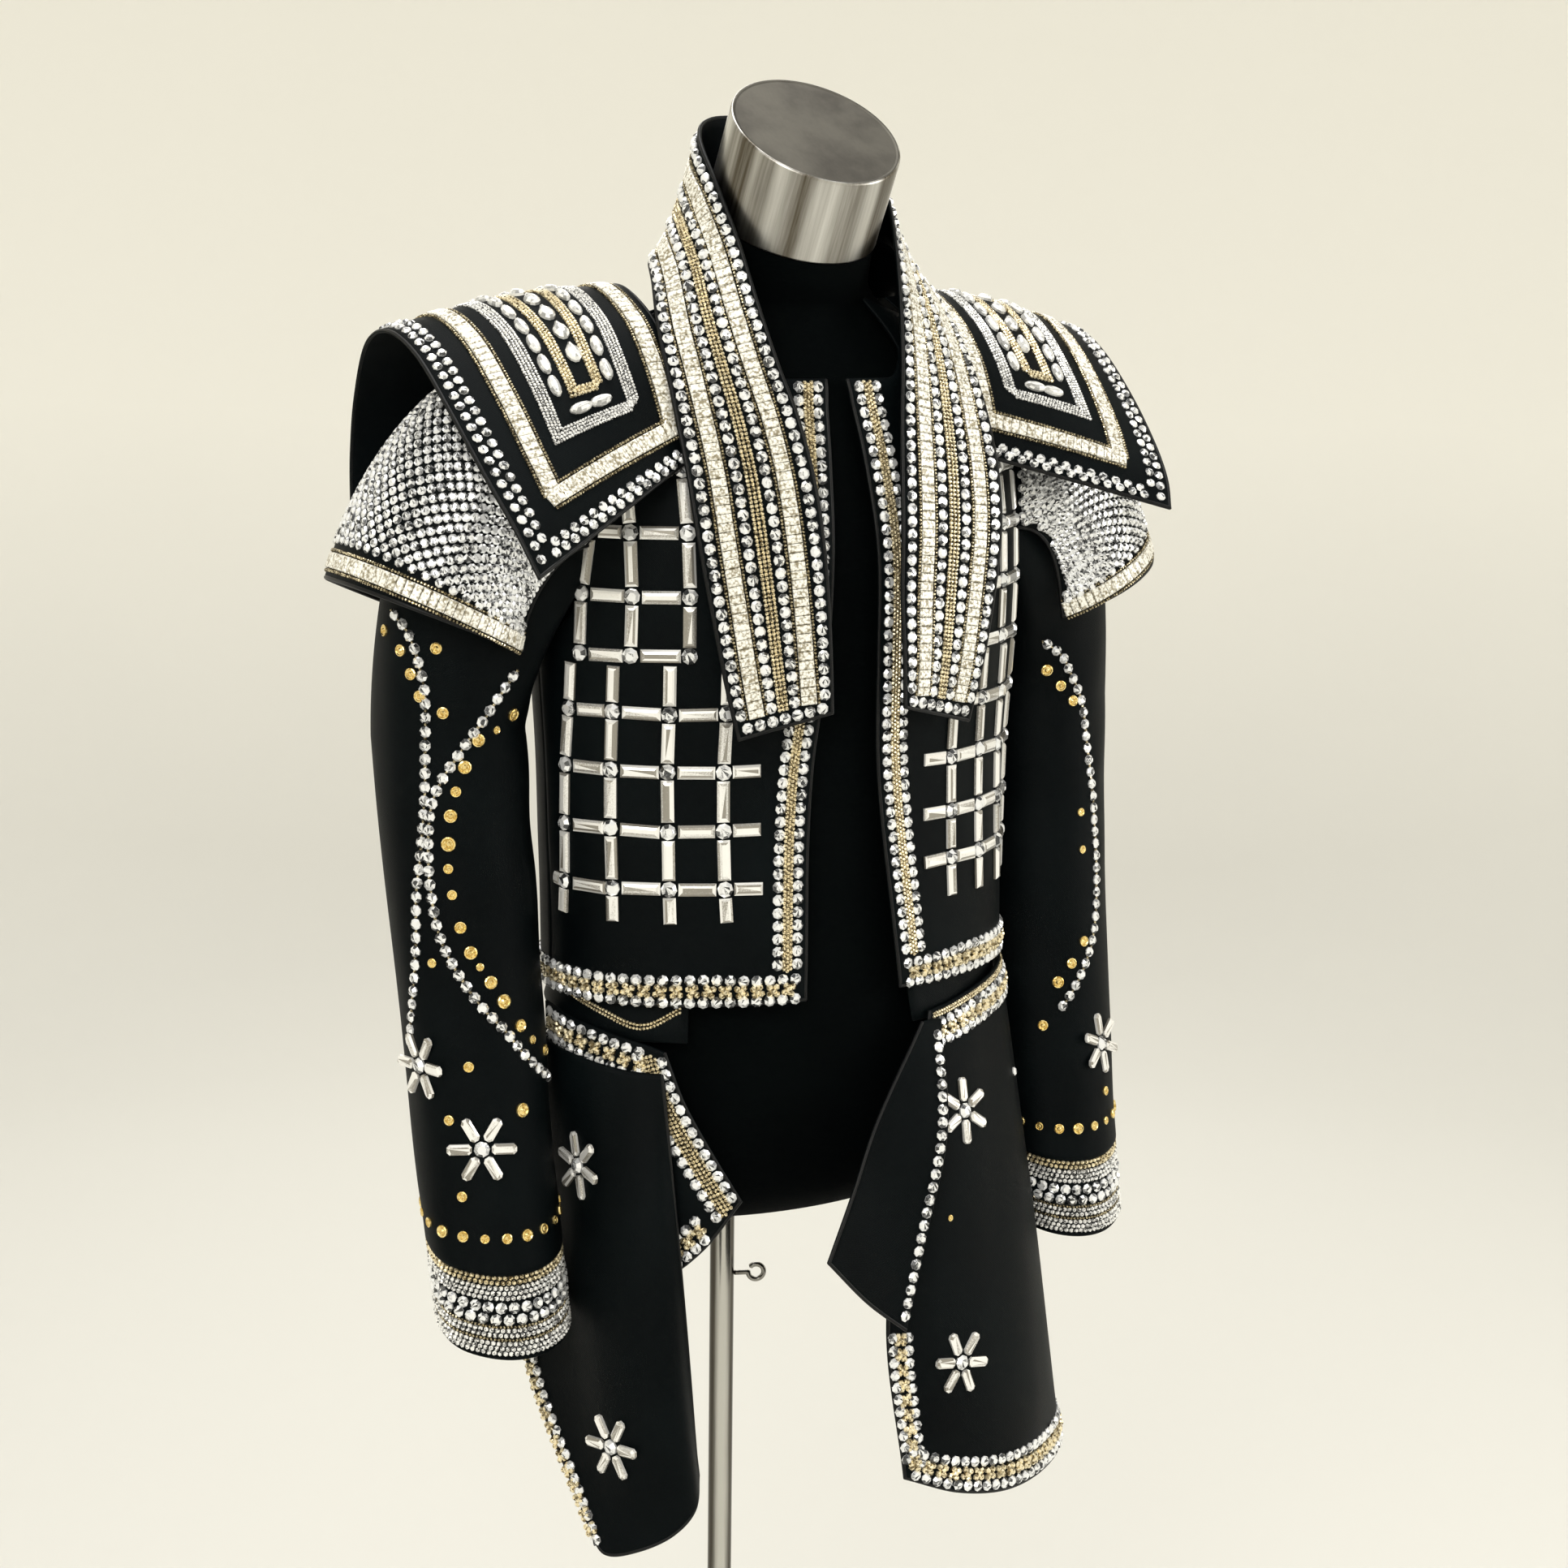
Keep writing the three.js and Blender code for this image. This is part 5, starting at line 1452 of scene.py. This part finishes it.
def sleeve_trims(name, panel, curves, studs, star_places):
    """Curved rows of stones with links between them, studs of three sizes, and stars."""
    white = [(GEM, table_line(panel, curve, GEM_PITCH, jitter=GEM_TURN)) for curve in curves]
    links = [(LINK, table_line(panel, curve, GEM_PITCH, start=0.0)) for curve in curves]
    u, v, size = np.array(studs).T
    brass = single(panel, u, v)
    brass.size = size
    around = (np.arange(20) + 0.5) / 20
    wrist = single(panel, around, 0.052 + 0.012 * np.sin(around * 2 * np.pi))
    wrist.size = np.tile([0.95, 0.8, 0.7, 0.85], 5)
    rays, middles = stars(panel, star_places)
    brass_studs = [(STUD, brass), (STUD, wrist)]
    return trims(name, crystals=[*white, middles], links=links, studs=brass_studs, stars=[rays])


def cuff_trims(name, panel):
    """Rings down the cuff: gold beads, silver beads, two rings of stones, chains and closing beads."""
    round_arm = np.linspace(0, 1, 90)
    high = panel.high(0.5)

    def rings(shape, pitch, distances, starts=(0, 0.5), jitter=0.0):
        """Rings at distances below the cuff's top, which start at two shares of the pitch by turns."""
        heights = [np.full(90, 1 - down / high) for down in distances]
        return [(shape, line(panel, round_arm, v, pitch, start=starts[k % 2], jitter=jitter))
                for k, v in enumerate(heights)]

    gold = rings(CUFF_BEAD, CUFF_PITCH, (1.6, 4.5))
    silver = rings(CUFF_BEAD, CUFF_PITCH, (7.6, 10.5, 13.4, 32.0, 34.9, 39.6, 42.5, 45.2))
    white = rings(GEM, EDGE_PITCH, (19.0, 25.8), jitter=GEM_TURN)
    chain = rings(LINK, 2.1, (30.0, 37.4), (0.5, 0.5))
    return trims(name, crystals=white, gold_beads=gold, silver_beads=silver, chain=chain)


for word, panel, wrist, curves, studs, star_places in (
        ("right", sleeve_right, cuff_right, (CURVE_RIGHT, BACK_CURVE_RIGHT), STUDS_RIGHT, STARS_RIGHT),
        ("left", sleeve_left, cuff_left, (CURVE_LEFT,), STUDS_LEFT, STARS_LEFT)):
    name, cuff = f"sleeve_{word}", f"cuff_{word}"
    sleeve_pieces = sleeve_trims(name, panel, curves, studs, star_places)
    sew(name, panel, sleeve_pieces)
    sew(cuff, wrist, cuff_trims(cuff, wrist))


# Skirt pieces
waist_lines = [[(u, v + step) for u, v in WAIST_LINE] for step in (0.0, 0.07)]
waist_chain = stones("waist_chain", GOLD, *[(LINK, table_line(waist, table, 2.1)) for table in waist_lines])
sew("waist", waist, [waist_chain], node="waist_band")


def skirt_piece(name, panel, edges=("left", "right", "low"), held="hung", rests_on=("waist_cloth",), **kinds):
    """A piece below the waist band: its trims, its piping and its cloth."""
    made = trims(name, **kinds) + piping(name, panel, edges, SKIRT_CORD)
    sew(name, panel, made)


white, gold = borders(
    peplum_right, ("right", (0.03, 0.97), (4.0, 11.2, 18.4), "wide mesh"),
    ("low", (0.02, 0.8), (4.0, 10.5, 17), "florets"), ("top", (0.02, 0.86), (4, 10.8, 17.6), "florets"))
skirt_piece("peplum_right", peplum_right, crystals=white, gold_beads=gold)

white, gold = three_rows(tail_right, "left", (0.0, 0.6), (10.5, 4.2, 16), "florets")
rays, middles = stars(tail_right, ((0.503, 0.800, 0.2), (0.512, 0.242, 0.1)))
skirt_piece("tail_right", tail_right, crystals=[white[0], middles], gold_beads=gold, stars=[rays])

white, gold = borders(
    tail_left, ("left", (0.03, 0.30), (3, 8, 13), "florets"),
    ("low", (0.02, 0.98), (4, 10.5, 17), "florets"), ("top", (0.05, 0.98), (10, 16.5, 23), "florets"))
gold += [(LINK, beside(tail_left, "top", distance, (0.02, 0.98), 2.2)) for distance in (2.6, 4.8)]
rays, middles = stars(tail_left, ((0.20, 0.746, 0.1), (0.235, 0.231, 0.3)))
skirt_piece(
    "tail_left", tail_left, crystals=[*white, middles, (SMALL_GEM, single(tail_left, 0.634, 0.749))],
    gold_beads=gold, studs=[(STUD, single(tail_left, 0.169, 0.521).moved(size=0.5))], stars=[rays])

edge_row = beside(flap_left, "right", 3.6, (0.02, 0.97), GEM_PITCH, jitter=GEM_TURN)
skirt_piece(
    "flap_left", flap_left, ("left", "low"), "folded", ("waist_cloth", "tail_left_cloth"),
    crystals=[(GEM, edge_row)])


# Dress form and stand
form_heights = np.concatenate([[882, 883, 885], np.linspace(888, 1472, 110), [1474, 1475]])
form_rows = np.stack([form_heights, *(at_height(FORM, k, form_heights) for k in range(1, 7))], -1)
form_rings = np.stack([form_ring(row, full_turn(96)) for row in form_rows])
stand_in(lathe("form_cover", form_rings, [JERSEY]), "form_body")

drum_rows = [(z, *[CAP_RADIUS - inset] * 3, centre, 2, lean) for z, centre, inset, lean in DRUM_RINGS]
drum_rings = np.stack([form_ring(row, full_turn(128)) for row in drum_rows])
# The top rings take the steel with the painted shade.
drum_kinds = np.array([0] * 8 + [1] * 3)
stand_in(lathe("neck_drum", drum_rings, [STEEL_SIDE, STEEL_TOP_PAINTED_SHADE], drum_kinds), "neck_cap")

pole_heights = np.linspace(POLE_FOOT + 1, POLE_TOP - 1, 30)
pole_profile = [
    (POLE_RADIUS - POLE_EDGE, POLE_FOOT), (POLE_RADIUS, POLE_FOOT + POLE_EDGE),
    *[(POLE_RADIUS, z) for z in pole_heights],
    (POLE_RADIUS, POLE_TOP - POLE_EDGE), (POLE_RADIUS - POLE_EDGE, POLE_TOP)]
stand_in(lathe("stand_pole", turned_rings(pole_profile, 64), [CHROME]), "pole")
stand_in(lathe("stand_foot", turned_rings(BASE_PROFILE, 128), [BASE_STEEL]), "stand_base")


def screw_path():
    """A straight shank and then most of a circle, turned about the pole and set against it."""
    angle = np.pi + np.linspace(0, 1, 40) * 1.75 * np.pi
    eye = np.stack([SCREW_SHANK + EYE_RADIUS * (1 + np.cos(angle)), 0 * angle, EYE_RADIUS * np.sin(angle)], 1)
    path = np.concatenate([np.linspace([0, 0, 0], [8.6, 0, 0], 8), eye])
    c, s = np.cos(SCREW_TURN), np.sin(SCREW_TURN)
    spin = np.array([[c, -s, 0], [s, c, 0], [0, 0, 1]])
    away = POLE_RADIUS + 0.5
    path = path @ spin.T + np.array([away * c, away * s, SCREW_HEIGHT])
    return path, np.broadcast_to(spin @ np.array([0, 1.0, 0]), path.shape)


stand_in(tube("stand_screw", [screw_path()], SCREW_WIRE, CHROME, 16), "pole_screw")
